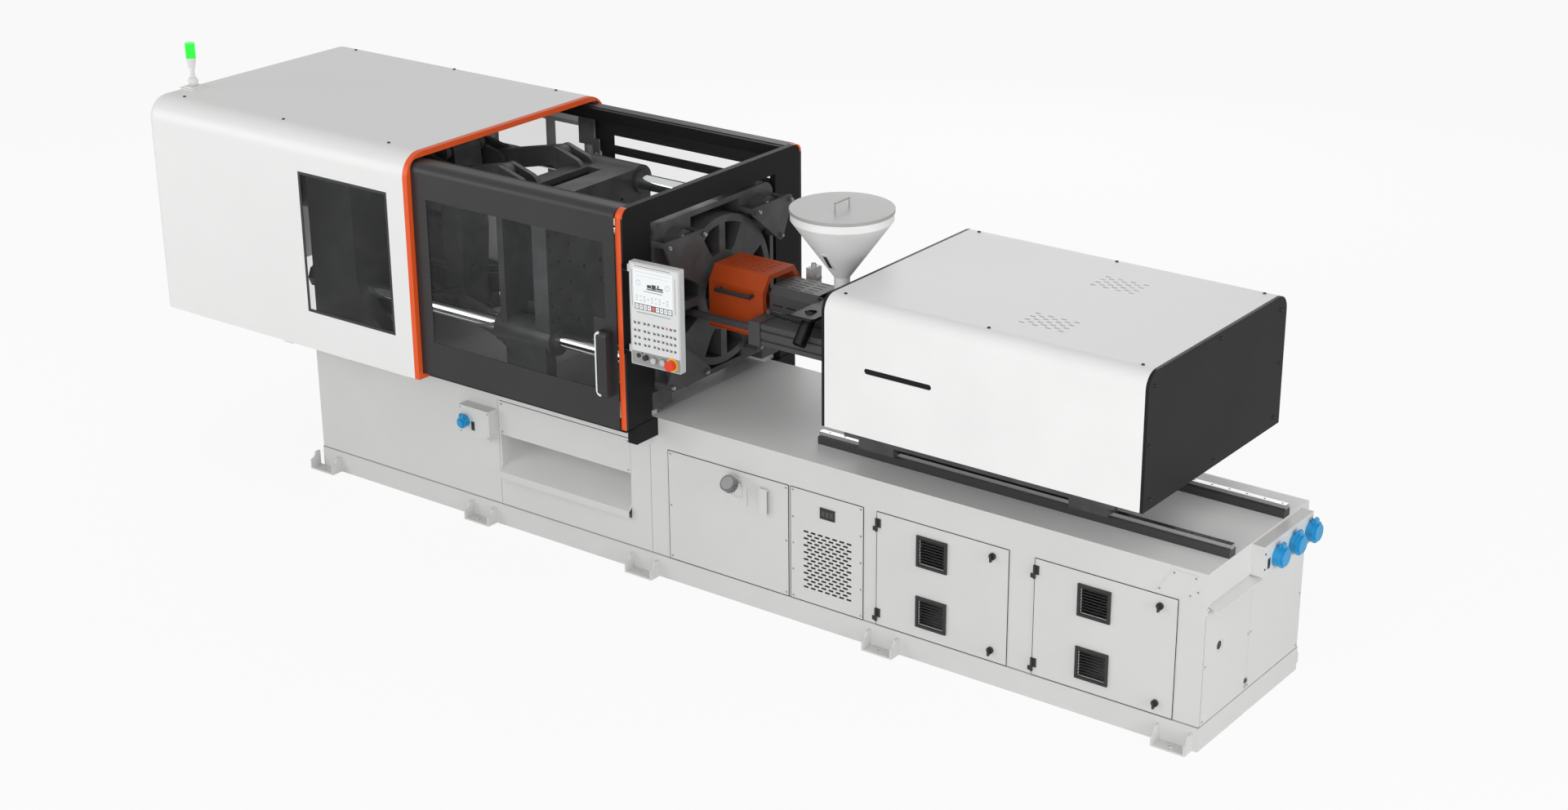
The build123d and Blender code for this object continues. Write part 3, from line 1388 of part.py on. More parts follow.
# Carriage cylinders: grooved square bodies on the carriage, which slide on the rods of the platen
gland_block = 62.0
body_inset = 6.0
groove_z = (-22.0, 22.0)
groove_half = 6.0
groove_depth = 8.0
cavity_radius = 30.0
link_half = 40.0
with BuildPart() as carriage_cylinders:
    gland_end = cylinder_span[0] + gland_block
    body_half = cylinder_half - body_inset
    for side in (-1, 1):
        y = side * cylinder_y
        block(cylinder_span, (y - body_half, y + body_half), (cylinder_z - body_half, cylinder_z + body_half))
        gland_y = (y - cylinder_half, y + cylinder_half)
        gland_z = (cylinder_z - cylinder_half, cylinder_z + cylinder_half)
        block((cylinder_span[0], gland_end), gland_y, gland_z)
        groove_y = sorted((y + side * (body_half - groove_depth), y + side * body_half))
        for z in groove_z:
            groove = (cylinder_z + z - groove_half, cylinder_z + z + groove_half)
            block((gland_end, cylinder_span[1]), groove_y, groove, mode=Mode.SUBTRACT)
        bar_x(y, cylinder_z, cavity_radius, (gland_end, cylinder_span[1] - 6), mode=Mode.SUBTRACT)
        bar_x(y, cylinder_z, cylinder_rod + running_fit, (cylinder_span[0], gland_end), mode=Mode.SUBTRACT)
        link_z = (cylinder_z - link_half, cylinder_z + link_half)
        block((cylinder_span[1], front_housing[0]), (y - link_half, y + link_half), link_z)
carriage_cylinders.part.label = "carriage_cylinders"
export_step(carriage_cylinders.part, "parts/carriage_cylinders.step")

# Injection hood: sheet cover with a frame in front and a plate at the end
hood_slot_x = (933.0, 1260.0)
hood_slot_z = (1308.0, 1332.0)
hood_opening_y = 275.0
hood_opening_top = 1500.0
hood_vent_slot = (26.0, 9.0)
hood_vent_pitch = (60.0, 41.0)
hood_vent_x = 1637.5
hood_vent_y = (-304.0, 248.0)
hood_front = hood_span[0] - hood_frame
with BuildPart() as injection_hood:
    with BuildSketch(Plane.YZ.offset(hood_front)):
        add(arch(hood_half_y, hood_low, hood_top, hood_radius))
    extrude(amount=hood_span[1] + hood_frame - hood_front)
    with BuildSketch(Plane.YZ.offset(hood_span[0])):
        add(arch(hood_half_y - sheet, hood_low, hood_top - sheet, hood_radius - sheet))
    extrude(amount=hood_span[1] - hood_span[0], mode=Mode.SUBTRACT)
    opening_y = (-hood_opening_y, hood_opening_y)
    block((hood_front, hood_span[0]), opening_y, (hood_low, hood_opening_top), mode=Mode.SUBTRACT)
    with BuildSketch(Plane.XZ.offset(hood_half_y)):
        with Locations((sum(hood_slot_x) / 2, sum(hood_slot_z) / 2)):
            SlotOverall(hood_slot_x[1] - hood_slot_x[0], hood_slot_z[1] - hood_slot_z[0])
    extrude(amount=-sheet, mode=Mode.SUBTRACT)
    with BuildSketch(Plane.XY.offset(hood_top - sheet)):
        with Locations(*[(hood_vent_x, y) for y in hood_vent_y]):
            for rows in (4, 3):
                with GridLocations(*hood_vent_pitch, rows, rows):
                    Rectangle(*hood_vent_slot)
    extrude(amount=sheet, mode=Mode.SUBTRACT)
injection_hood.part.label = "injection_hood"
export_step(injection_hood.part, "parts/injection_hood.step")

# Hopper: neck tube, rolled cone and rim band, seam welded, with the flange on the feed block
flange_side = 100.0
flange_height = 12.0
neck_bore = hopper_neck - sheet
with BuildPart() as hopper_shell:
    with BuildSketch(Plane.XZ):
        with BuildLine():
            Polyline(
                (hopper_x + hopper_neck, feed_top),
                (hopper_x + hopper_neck, hopper_cone_low),
                (hopper_x + hopper_radius, hopper_cone_top),
                (hopper_x + hopper_radius, hopper_rim),
                (hopper_x + hopper_radius - sheet, hopper_rim),
                (hopper_x + hopper_radius - sheet, hopper_cone_top),
                (hopper_x + neck_bore, hopper_cone_low),
                (hopper_x + neck_bore, feed_top),
                close=True,
            )
        make_face()
    revolve(axis=Axis((hopper_x, 0, 0), (0, 0, 1)))
    for z in (hopper_cone_low, hopper_cone_top):
        split(bisect_by=Plane.XY.offset(z), keep=Keep.BOTH)

with BuildPart() as hopper_flange:
    flange_z = (feed_top, feed_top + flange_height)
    flange_y = (-flange_side / 2, flange_side / 2)
    block((hopper_x + flange_y[0], hopper_x + flange_y[1]), flange_y, flange_z)
    bar_z(hopper_x, 0, hopper_neck, flange_z, mode=Mode.SUBTRACT)

with BuildPart() as hopper:
    add([*hopper_shell.solids(), *hopper_flange.solids()], mode=Mode.REPLACE)
hopper.part.label = "hopper"
export_step(hopper.part, "parts/hopper.step")

lid_skirt = 12.0
lid_overhang = 4.0
lid_wall = 2.0
lid_handle = (52.0, 34.0)
lid_wire = 4.0
lid_radius = hopper_radius + lid_overhang
with BuildPart() as lid_disc:
    bar_z(hopper_x, 0, lid_radius, (hopper_rim, hopper_rim + sheet))

with BuildPart() as lid_band:
    with BuildSketch(Plane.XY.offset(hopper_rim - lid_skirt)):
        with Locations((hopper_x, 0)):
            Circle(lid_radius)
            Circle(lid_radius - lid_wall, mode=Mode.SUBTRACT)
    extrude(amount=lid_skirt)

with BuildPart() as lid_bow:
    for side in (-1, 1):
        bar_z(hopper_x, side * lid_handle[0], lid_wire - 1, (hopper_rim + sheet, hopper_rim + lid_handle[1]))
    wire_end = lid_handle[0] + lid_wire
    bar_y(hopper_x, hopper_rim + lid_handle[1], lid_wire, (-wire_end, wire_end))

with BuildPart() as hopper_lid:
    add([*lid_disc.solids(), *lid_band.solids(), *lid_bow.solids()], mode=Mode.REPLACE)
hopper_lid.part.label = "hopper_lid"
export_step(hopper_lid.part, "parts/hopper_lid.step")

# Control panel: flat housing on two hinge tabs, its face overlay and the controls on the lower strip
turn = radians(desk_turn)
desk_plane = Plane(
    origin=(desk_corner[0], desk_corner[1], desk_top),
    x_dir=(cos(turn), sin(turn), 0),
    z_dir=(sin(turn), -cos(turn), 0),
)
desk_round = 5.0
stem_depth = 16.0
push_travel = 4.0
tab_height = 32.0
controls = (
    ("e_stop", 215.0, 34.0, 22.0, 13.0, 24.0),
    ("panel_button_left", 122.0, 36.0, 13.0, 9.0, 9.0),
    ("panel_button_right", 170.0, 37.0, 13.0, 9.0, 9.0),
    ("panel_selector", 79.0, 41.0, 12.0, 8.0, 14.0),
)
with BuildPart() as panel_housing:
    with BuildSketch(desk_plane.offset(-desk_depth)):
        with Locations((desk_width / 2, -desk_height / 2)):
            RectangleRounded(desk_width, desk_height, desk_round)
    extrude(amount=desk_depth)
    for z in arm_z:
        tab_z = (z + arm_plate + fit, z + arm_plate + fit + tab_height)
        block((pivot[0] - 16, pivot[0] + 45), (pivot[1] - 27, pivot[1] + 14), tab_z)
        bar_z(*pivot, pivot_radius + running_fit, tab_z, mode=Mode.SUBTRACT)
    with BuildSketch(desk_plane):
        for name, u, v, cap, stem, height in controls:
            with Locations((u, v - desk_height)):
                Circle(stem + running_fit)
    extrude(amount=-stem_depth - push_travel - fit, mode=Mode.SUBTRACT)
panel_housing.part.label = "panel_housing"
export_step(panel_housing.part, "parts/panel_housing.step")

face_margin = 8.0
face_thickness = 1.5
strip_height = 64.0
with BuildPart() as panel_face:
    face_height = desk_height - strip_height - face_margin
    with BuildSketch(desk_plane):
        with Locations((desk_width / 2, -face_margin - face_height / 2)):
            RectangleRounded(desk_width - 2 * face_margin, face_height, desk_round - 2)
    extrude(amount=face_thickness)
panel_face.part.label = "panel_face"
export_step(panel_face.part, "parts/panel_face.step")

for name, u, v, cap, stem, height in controls:
    stand_off = fit if name == "panel_selector" else push_travel + fit
    with BuildPart() as control:
        with BuildSketch(desk_plane.offset(-stem_depth)):
            with Locations((u, v - desk_height)):
                Circle(stem)
        extrude(amount=stem_depth + stand_off)
        with BuildSketch(desk_plane.offset(stand_off)):
            with Locations((u, v - desk_height)):
                Circle(cap)
        extrude(amount=height)
    control.part.label = name
    export_step(control.part, f"parts/{name}.step")

# Stack light on the clamp cover: two-layer plate, ball joint, neck, cup and lens
light_place = (-3190.0, -430.0)
light_plate = (94.0, 100.0, 5.0)
light_base = (66.0, 72.0, 7.0)
ball_radius = 25.0
ball_sink = 3.0
neck_rod = 11.0
cup_rise = (99.0, 150.0)
cup_radius = (15.0, 24.0)
lens_radius = 24.0
lens_height = 74.0
with BuildPart() as light_stem:
    for size, low in ((light_plate, cover_top), (light_base, cover_top + light_plate[2])):
        with BuildSketch(Plane.XY.offset(low)):
            with Locations(light_place):
                RectangleRounded(size[0], size[1], 6)
        extrude(amount=size[2])
    ball_z = cover_top + light_plate[2] + light_base[2] + ball_radius - ball_sink
    with Locations((*light_place, ball_z)):
        Sphere(ball_radius)
    bar_z(*light_place, neck_rod, (ball_z, cover_top + cup_rise[0] + 1))
    for rise, radius in zip(cup_rise, cup_radius):
        with BuildSketch(Plane.XY.offset(cover_top + rise)):
            with Locations(light_place):
                Circle(radius)
    loft()
light_stem.part.label = "light_stem"
export_step(light_stem.part, "parts/light_stem.step")

with BuildPart() as light_lens:
    lens_z = cover_top + cup_rise[1]
    bar_z(*light_place, lens_radius, (lens_z, lens_z + lens_height))
light_lens.part.label = "light_lens"
export_step(light_lens.part, "parts/light_lens.step")
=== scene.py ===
# Injection moulding machine: finishes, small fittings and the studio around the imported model.
from math import cos, pi, radians, sin

import bmesh
import bpy
from mathutils import Matrix, Vector


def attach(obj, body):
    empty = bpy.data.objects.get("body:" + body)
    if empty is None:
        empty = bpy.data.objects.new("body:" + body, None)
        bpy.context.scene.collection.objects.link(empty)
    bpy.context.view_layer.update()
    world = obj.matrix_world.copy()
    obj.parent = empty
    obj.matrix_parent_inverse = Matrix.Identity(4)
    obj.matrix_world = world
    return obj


print("stage: loading the machine")
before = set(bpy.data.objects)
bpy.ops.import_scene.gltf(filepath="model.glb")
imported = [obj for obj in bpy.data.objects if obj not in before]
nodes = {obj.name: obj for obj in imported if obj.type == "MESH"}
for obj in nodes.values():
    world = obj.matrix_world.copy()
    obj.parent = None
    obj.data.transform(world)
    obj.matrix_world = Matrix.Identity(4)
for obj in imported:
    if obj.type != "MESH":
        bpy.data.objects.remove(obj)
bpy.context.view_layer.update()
finishes = {}


class Signal:
    # a node socket that takes part in plain arithmetic
    def __init__(self, finish, socket):
        self.finish = finish
        self.socket = socket

    def maths(self, operation, first, second=None):
        # one Math node from numbers and signals
        values = {0: first} if second is None else {0: first, 1: second}
        return self.finish.node("Math", {"operation": operation}, values)

    def __add__(self, other):
        return self.maths("ADD", self, other)

    def __radd__(self, other):
        return self.maths("ADD", other, self)

    def __sub__(self, other):
        return self.maths("SUBTRACT", self, other)

    def __rsub__(self, other):
        return self.maths("SUBTRACT", other, self)

    def __mul__(self, other):
        return self.maths("MULTIPLY", self, other)

    def __rmul__(self, other):
        return self.maths("MULTIPLY", other, self)

    def __gt__(self, other):
        return self.maths("GREATER_THAN", self, other)

    def __lt__(self, other):
        return self.maths("LESS_THAN", self, other)

    def __abs__(self):
        return self.maths("ABSOLUTE", self)

    def __pow__(self, other):
        return self.maths("POWER", self, other)


def findSocket(group, key):
    # by number, or by name among the sockets in use
    if isinstance(key, int):
        return group[key]
    return next(s for s in group if s.name == key and not s.is_unavailable)


class Finish:
    # one material and its nodes
    def __init__(self, name):
        self.material = bpy.data.materials.new(name)
        self.material.use_nodes = True
        self.tree = self.material.node_tree
        self.tree.nodes.clear()
        self.end = self.tree.nodes.new("ShaderNodeOutputMaterial")
        finishes[name] = self.material

    def node(self, kind, settings=None, sockets=None, out=0):
        # one node of any kind: its settings, and numbers or signals for its sockets
        made = self.tree.nodes.new("ShaderNode" + kind)
        for key, value in (settings or {}).items():
            if key == "stops":
                ramp = made.color_ramp
                for place, (at, colour) in enumerate(value):
                    stop = ramp.elements[place] if place < 2 else ramp.elements.new(at)
                    stop.position = at
                    stop.color = colour
            else:
                setattr(made, key, value)
        for key, value in (sockets or {}).items():
            socket = findSocket(made.inputs, key)
            if isinstance(value, Signal):
                self.tree.links.new(value.socket, socket)
            else:
                socket.default_value = value
        return Signal(self, findSocket(made.outputs, out))

    def place(self):
        return self.node("TexCoord", out="Object")

    def noise(self, scale, detail=2.0, rough=0.5, stretch=None):
        place = self.place()
        if stretch:
            place = self.node("Mapping", None, {"Vector": place, "Scale": stretch})
        return self.node("TexNoise", None, {
            "Vector": place, "Scale": scale, "Detail": detail, "Roughness": rough,
        })

    def mix(self, mask, first, second):
        sockets = {"Factor": mask, "A": first, "B": second}
        return self.node("Mix", {"data_type": "RGBA"}, sockets, "Result")

    def bump(self, height, strength, depth):
        return self.node("Bump", None, {"Height": height, "Strength": strength, "Distance": depth})

    def shade(self, sockets):
        body = self.node("BsdfPrincipled", None, sockets)
        self.tree.links.new(body.socket, self.end.inputs["Surface"])
        return self.material


def tint(colour, share):
    # lighter or darker, with full alpha
    return tuple(min(1.0, c * share) for c in colour) + (1.0,)


print("stage: finishes")
paints = {
    "basePaint": {"colour": (0.640, 0.640, 0.632), "rough": 0.46, "peel": 0.10, "cloud": 0.025},
    "coverPaint": {"colour": (0.820, 0.820, 0.815), "rough": 0.38, "peel": 0.06, "cloud": 0.012},
    "orangePaint": {"colour": (0.800, 0.100, 0.016), "rough": 0.36, "peel": 0.07, "cloud": 0.030},
    "blackPaint": {
        "colour": (0.012, 0.012, 0.013), "rough": 0.46, "peel": 0.06, "cloud": 0.120, "shine": 0.12,
    },
    "doorPaint": {
        "colour": (0.030, 0.030, 0.031), "rough": 0.42, "peel": 0.06, "cloud": 0.100, "shine": 0.35,
    },
    "lidGrey": {"colour": (0.375, 0.375, 0.370), "rough": 0.36, "peel": 0.02, "cloud": 0.015},
    "barrelGrey": {
        "colour": (0.070, 0.070, 0.072), "rough": 0.42, "peel": 0.06, "cloud": 0.060, "shine": 0.4,
    },
    "grilleGrey": {"colour": (0.020, 0.020, 0.021), "rough": 0.50, "peel": 0.10, "cloud": 0.060},
    "footGrey": {"colour": (0.560, 0.560, 0.555), "rough": 0.50, "peel": 0.08, "cloud": 0.030},
    "silverPaint": {"colour": (0.560, 0.565, 0.570), "rough": 0.40, "peel": 0.05, "cloud": 0.020},
    "lampWhite": {"colour": (0.780, 0.780, 0.770), "rough": 0.35, "peel": 0.03, "cloud": 0.010},
    "blueMoulding": {"colour": (0.012, 0.290, 0.600), "rough": 0.30, "peel": 0.05, "cloud": 0.040},
    "darkMoulding": {"colour": (0.022, 0.022, 0.024), "rough": 0.50, "peel": 0.16, "cloud": 0.100},
    "buttonGrey": {"colour": (0.520, 0.520, 0.510), "rough": 0.30, "peel": 0.03, "cloud": 0.010},
    "stripGrey": {"colour": (0.300, 0.302, 0.305), "rough": 0.40, "peel": 0.04, "cloud": 0.020},
    "stopRed": {"colour": (0.760, 0.045, 0.010), "rough": 0.28, "peel": 0.03, "cloud": 0.020},
    "stopYellow": {"colour": (0.820, 0.480, 0.010), "rough": 0.40, "peel": 0.03, "cloud": 0.020},
    "filmWhite": {"colour": (0.700, 0.705, 0.705), "rough": 0.42, "peel": 0.04, "cloud": 0.010},
}


def makePaint(name, colour, rough, peel, cloud, shine=0.5):
    # satin paint: faint clouds in the colour, orange peel in the bump
    finish = Finish(name)
    drift = finish.noise(2.2, 4.0, 0.6)
    skin = finish.noise(240.0, 1.0)
    colours = finish.mix(drift, tint(colour, 1 - cloud * 2), tint(colour, 1 + cloud * 2))
    return finish.shade({
        "Base Color": colours,
        "Roughness": rough + (drift - 0.5) * 0.16,
        "Normal": finish.bump(skin, peel, 0.0006),
        "Specular IOR Level": shine,
        "Coat Weight": 0.1 * shine,
    })


for paintName, paint in paints.items():
    makePaint(paintName, **paint)

metals = {
    "brushedSteel": {
        "colour": (0.50, 0.505, 0.51), "rough": 0.30, "grain": (3.0, 160.0, 160.0), "depth": 0.12,
    },
    "satinSheet": {
        "colour": (0.86, 0.86, 0.855), "rough": 0.50, "grain": (60.0, 60.0, 4.0), "depth": 0.03,
        "metal": 0.04,
    },
    "darkChrome": {"colour": (0.26, 0.26, 0.265), "rough": 0.16, "grain": (90.0, 90.0, 4.0), "depth": 0.03},
    "zincScrew": {"colour": (0.42, 0.42, 0.41), "rough": 0.36, "grain": (90.0, 90.0, 90.0), "depth": 0.05},
    "blackSteel": {
        "colour": (0.045, 0.045, 0.048), "rough": 0.42, "grain": (90.0, 90.0, 90.0), "depth": 0.10,
    },
}


def makeMetal(name, colour, rough, grain, depth, metal=1.0):
    # machined metal: long fine scratches along the grain
    finish = Finish(name)
    lines = finish.noise(1.0, 3.0, 0.65, grain)
    wear = finish.noise(5.0, 3.0, 0.55)
    return finish.shade({
        "Base Color": finish.mix(wear, tint(colour, 0.90), tint(colour, 1.08)),
        "Metallic": metal,
        "Roughness": rough + (lines - 0.5) * 0.22 + (wear - 0.5) * 0.12,
        "Normal": finish.bump(lines, depth, 0.0008),
    })


for metalName, metal in metals.items():
    makeMetal(metalName, **metal)

castings = {
    "colour": (0.050, 0.051, 0.053), "light": (0.072, 0.073, 0.076), "rough": 0.48, "sand": 130.0,
    "swell": 9.0, "rub": (0.42, 0.68),
}


def makeCasting():
    # painted iron: sandy skin under dark enamel, lighter where hands and cloths rub it
    finish = Finish("greyCasting")
    sand = finish.noise(castings["sand"], 3.0, 0.6)
    swell = finish.noise(castings["swell"], 3.0, 0.5)
    stops = list(zip(castings["rub"], ((0, 0, 0, 1), (1, 1, 1, 1))))
    rub = finish.node("ValToRGB", {"stops": stops}, {"Fac": swell})
    return finish.shade({
        "Base Color": finish.mix(rub, castings["colour"] + (1,), castings["light"] + (1,)),
        "Roughness": castings["rough"] - (swell - 0.5) * 0.30,
        "Normal": finish.bump(sand * 0.4 + swell * 0.6, 0.12, 0.0010),
        "Coat Weight": 0.10,
    })


makeCasting()

panes = {
    "clearPane": {"colour": (0.10, 0.103, 0.107), "veil": 0.08, "rough": 0.05},
    "tintedPane": {"colour": (0.03, 0.031, 0.033), "veil": 0.15, "rough": 0.06},
}


def makePane(name, colour, veil, rough):
    # clear sheet: mostly open, with a faint dusty veil
    finish = Finish(name)
    dust = finish.noise(3.5, 5.0, 0.6)
    return finish.shade({
        "Base Color": finish.mix(dust, tint(colour, 0.8), tint(colour, 1.2)),
        "Roughness": rough + dust * 0.05,
        "Alpha": veil + (dust - 0.5) * 0.04,
        "Specular IOR Level": 0.7,
    })


for paneName, pane in panes.items():
    makePane(paneName, **pane)

lampGlow = {"deep": (0.0, 0.42, 0.02, 1), "bright": (0.02, 0.95, 0.04, 1), "ribs": 1280.0, "strength": 0.85}


def makeLamp():
    # ribbed lens, lit from inside
    finish = Finish("greenLens")
    height = finish.node("SeparateXYZ", None, {"Vector": finish.place()}, "Z")
    ribs = finish.node("Math", {"operation": "SINE"}, {0: height * lampGlow["ribs"]})
    shine = finish.mix(ribs * 0.25 + 0.6, lampGlow["deep"], lampGlow["bright"])
    return finish.shade({
        "Base Color": shine,
        "Emission Color": shine,
        "Emission Strength": lampGlow["strength"],
        "Roughness": 0.18,
    })


makeLamp()

# pieces of the model that carry two finishes are split by place
splits = {
    "barsAndNuts": {"half": 0.304, "middle": 1.267, "radius": 0.0385},
    "hoodEnds": {"from": 0.7345, "to": 2.2245},
    "railHead": {"level": 0.8155},
    "doorHinge": {
        "lefts": (0.910, 1.690), "heights": (0.581, 0.161), "reach": 0.0206, "tall": 0.034,
        "front": -0.4375,
    },
    "handleBow": {"face": -0.3962},
    "trimEnd": {"face": -0.2823},
    "tableTop": {"level": 0.7805},
    "guardBow": {"front": -0.1395, "low": 1.20},
    "rearPane": {
        "x": (-1.4405, -0.3555), "y": (0.6440, 0.6500), "z": (0.9325, 1.6565), "veil": 0.08, "polish": 0.34,
    },
}


def makeSplit(name, mask, first, second, roughs, metallic=(0.0, 0.0), bumpSize=240.0, shine=0.5):
    # one node with two finishes: mask 0 shows the first, mask 1 the second
    finish = Finish(name)
    split = mask(finish)
    grain = finish.noise(bumpSize, 2.0)
    cloud = finish.noise(3.0, 3.0)
    worn = finish.mix(cloud, tint(first, 0.95), tint(first, 1.05))
    return finish.shade({
        "Base Color": finish.mix(split, worn, tint(second, 1.0)),
        "Metallic": metallic[0] + split * (metallic[1] - metallic[0]),
        "Roughness": roughs[0] + split * (roughs[1] - roughs[0]) + (cloud - 0.5) * 0.12,
        "Normal": finish.bump(grain, 0.08, 0.0008),
        "Specular IOR Level": shine,
    })


def axis(finish, letter):
    # one coordinate of the point that is shaded
    return finish.node("SeparateXYZ", None, {"Vector": finish.place()}, letter)


def within(value, span):
    return (value > span[0]) * (value < span[1])


def nutMask(finish):
    # outside the bars' own round, their nuts
    own = splits["barsAndNuts"]
    side = abs(axis(finish, "Y")) - own["half"]
    rise = abs(axis(finish, "Z") - own["middle"]) - own["half"]
    return (side * side + rise * rise) > own["radius"] ** 2


def hoodMask(finish):
    # both end plates of the hood
    x = axis(finish, "X")
    return (x < splits["hoodEnds"]["from"]) + (x > splits["hoodEnds"]["to"])


def hingeMask(finish):
    # four small boxes round the hinges
    own = splits["doorHinge"]
    x, y, z = (axis(finish, letter) for letter in "XYZ")
    near = [abs(x - left) < own["reach"] for left in own["lefts"]]
    level = [abs(z - height) < own["tall"] for height in own["heights"]]
    return (near[0] + near[1]) * (level[0] + level[1]) * (y < own["front"])


def guardMask(finish):
    # the bow on the guard's front
    own = splits["guardBow"]
    return (axis(finish, "Y") < own["front"]) * (axis(finish, "Z") > own["low"])


def railMask(finish):
    return axis(finish, "Z") > splits["railHead"]["level"]


def bowMask(finish):
    return axis(finish, "X") < splits["handleBow"]["face"]


def trimMask(finish):
    return axis(finish, "X") > splits["trimEnd"]["face"]


# the table's top, which is painted lighter as painted light
def litTableTopMask(finish):
    return axis(finish, "Z") > splits["tableTop"]["level"]


def makeRearDoor():
    # door paint on the sheet, clear where the pane lies
    own, sheet, glass = splits["rearPane"], paints["doorPaint"], panes["clearPane"]
    finish = Finish("doorAndPane")
    x, y, z = (within(axis(finish, letter), own[letter.lower()]) for letter in "XYZ")
    pane = x * y * z
    drift = finish.noise(2.2, 4.0, 0.6)
    return finish.shade({
        "Base Color": finish.mix(pane, tint(sheet["colour"], 1.0), tint(glass["colour"], 1.0)),
        "Alpha": 1 - pane * (1 - own["veil"]),
        "Roughness": sheet["rough"] - pane * own["polish"] + (drift - 0.5) * 0.10,
        "Specular IOR Level": sheet["shine"],
    })


makeRearDoor()

twoTone = {
    "barsAndNuts": {
        "mask": nutMask, "first": (0.80, 0.81, 0.82), "second": (0.05, 0.05, 0.053),
        "roughs": (0.08, 0.45), "metallic": (1.0, 0.0), "bumpSize": 90.0,
    },
    "hoodShell": {
        "mask": hoodMask, "first": (0.820, 0.820, 0.815), "second": (0.010, 0.010, 0.011),
        "roughs": (0.38, 0.44), "shine": 0.2,
    },
    "guideRail": {
        "mask": railMask, "first": (0.035, 0.035, 0.037), "second": (0.55, 0.555, 0.56),
        "roughs": (0.45, 0.22), "metallic": (0.0, 1.0), "bumpSize": 160.0,
    },
    "hingedPaint": {
        "mask": hingeMask, "first": (0.640, 0.640, 0.632), "second": (0.022, 0.022, 0.024),
        "roughs": (0.46, 0.45),
    },
    # painted light: the table's top is lighter than its sides, lifting it where the hood shades it
    "tableLitTopShell": {
        "mask": litTableTopMask, "first": (0.640, 0.640, 0.632), "second": (0.850, 0.850, 0.842),
        "roughs": (0.46, 0.46),
    },
    # the guard's orange is darker than the trim's orange: painted shade for the shade on the guard's front
    "guardShadedShell": {
        "mask": guardMask, "first": (0.470, 0.062, 0.007), "second": (0.030, 0.030, 0.032),
        "roughs": (0.40, 0.45),
    },
    "trimShell": {
        "mask": trimMask, "first": (0.800, 0.100, 0.016), "second": (0.020, 0.020, 0.021),
        "roughs": (0.36, 0.46), "shine": 0.4,
    },
    "gripAndBow": {
        "mask": bowMask, "first": (0.022, 0.022, 0.024), "second": (0.80, 0.81, 0.82),
        "roughs": (0.45, 0.10), "metallic": (0.0, 1.0), "bumpSize": 200.0,
    },
}
for splitName, look in twoTone.items():
    makeSplit(splitName, **look)

wardrobe = {
    "hingedPaint": ["base_frame", "cabinet_door_left", "cabinet_door_right"],
    "basePaint": ["clamp_bed", "bolted_panels", "vent_panel", "chute_tray"],
    "tableLitTopShell": ["table"],
    "coverPaint": ["clamp_cover"],
    "hoodShell": ["injection_hood"],
    "trimShell": ["orange_trim"],
    "guardShadedShell": ["purge_guard"],
    "blackPaint": ["end_frame"],
    "doorPaint": ["front_door"],
    "doorAndPane": ["rear_door"],
    "greyCasting": [
        "fixed_platen", "moving_platen", "tail_stock", "crosshead", "upper_rear_link", "lower_rear_link",
        "upper_front_link", "lower_front_link", "upper_cross_link", "lower_cross_link", "nut_plates",
        "carriage",
    ],
    "blackSteel": ["clamp_cylinder"],
    "barrelGrey": ["barrel_cover", "carriage_cylinders"],
    "brushedSteel": ["barrel", "screw", "ejector"],
    "darkChrome": ["filler_cap"],
    "guideRail": ["injection_rails"],
    "barsAndNuts": ["tie_bars"],
    "satinSheet": ["hopper"],
    "lidGrey": ["hopper_lid"],
    "clearPane": ["front_door_pane"],
    "tintedPane": ["clamp_window"],
    "gripAndBow": ["front_handle"],
    "grilleGrey": ["grilles_left", "grilles_right"],
    "darkMoulding": [
        "latch_left_top", "latch_left_low", "latch_right_top",
        "latch_right_low", "panel_selector",
    ],
    "blueMoulding": [
        "power_sockets", "end_socket_lid_1", "end_socket_lid_2", "end_socket_lid_3", "clamp_socket_lid",
    ],
    "silverPaint": ["panel_housing"],
    "filmWhite": ["panel_face"],
    "buttonGrey": ["panel_button_left", "panel_button_right"],
    "stopRed": ["e_stop"],
    "lampWhite": ["light_stem"],
    "greenLens": ["light_lens"],
}
for finishName, wearers in wardrobe.items():
    for wearer in wearers:
        nodes[wearer].data.materials.clear()
        nodes[wearer].data.materials.append(finishes[finishName])


# small fittings: shared shapes
def keep(name, bm, finish, body="machine", rounded=False):
    # writes the mesh, gives it its finish and lets it ride
    bmesh.ops.recalc_face_normals(bm, faces=bm.faces)
    mesh = bpy.data.meshes.new(name)
    bm.to_mesh(mesh)
    bm.free()
    if rounded:
        mesh.shade_smooth()
    mesh.materials.append(finishes[finish])
    piece = bpy.data.objects.new(name, mesh)
    bpy.context.scene.collection.objects.link(piece)
    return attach(piece, body)


def only(items, kind):
    # the vertices or edges among what bmesh returns
    return [item for item in items if isinstance(item, kind)]


def facing(at, out):
    # a place whose Z points outwards
    return Matrix.Translation(at) @ Vector(out).to_track_quat("Z", "Y").to_matrix().to_4x4()


def addDisc(bm, at, out, radius, height, sides=20, taper=1.0):
    # disc or cone frustum that stands on a face
    return bmesh.ops.create_cone(
        bm, cap_ends=True, segments=sides, radius1=radius, radius2=radius * taper, depth=height,
        matrix=facing(at, out) @ Matrix.Translation((0, 0, height / 2)),
    )


screwShape = {"taper": 0.86, "land": 0.42, "sink": 0.6}


def addScrew(bm, at, out, radius, height, sides=12):
    # button or hexagon head, with its socket pressed in
    made = addDisc(bm, at, out, radius, height, sides, screwShape["taper"])
    faces = {face for corner in made["verts"] for face in corner.link_faces}
    for face in faces:
        face.normal_update()
    crown = [face for face in faces if face.normal.dot(Vector(out)) > 0.95]
    bmesh.ops.inset_region(bm, faces=crown, thickness=radius * screwShape["land"])
    sink = -Vector(out).normalized() * height * screwShape["sink"]
    bmesh.ops.translate(bm, verts=list(crown[0].verts), vec=sink)


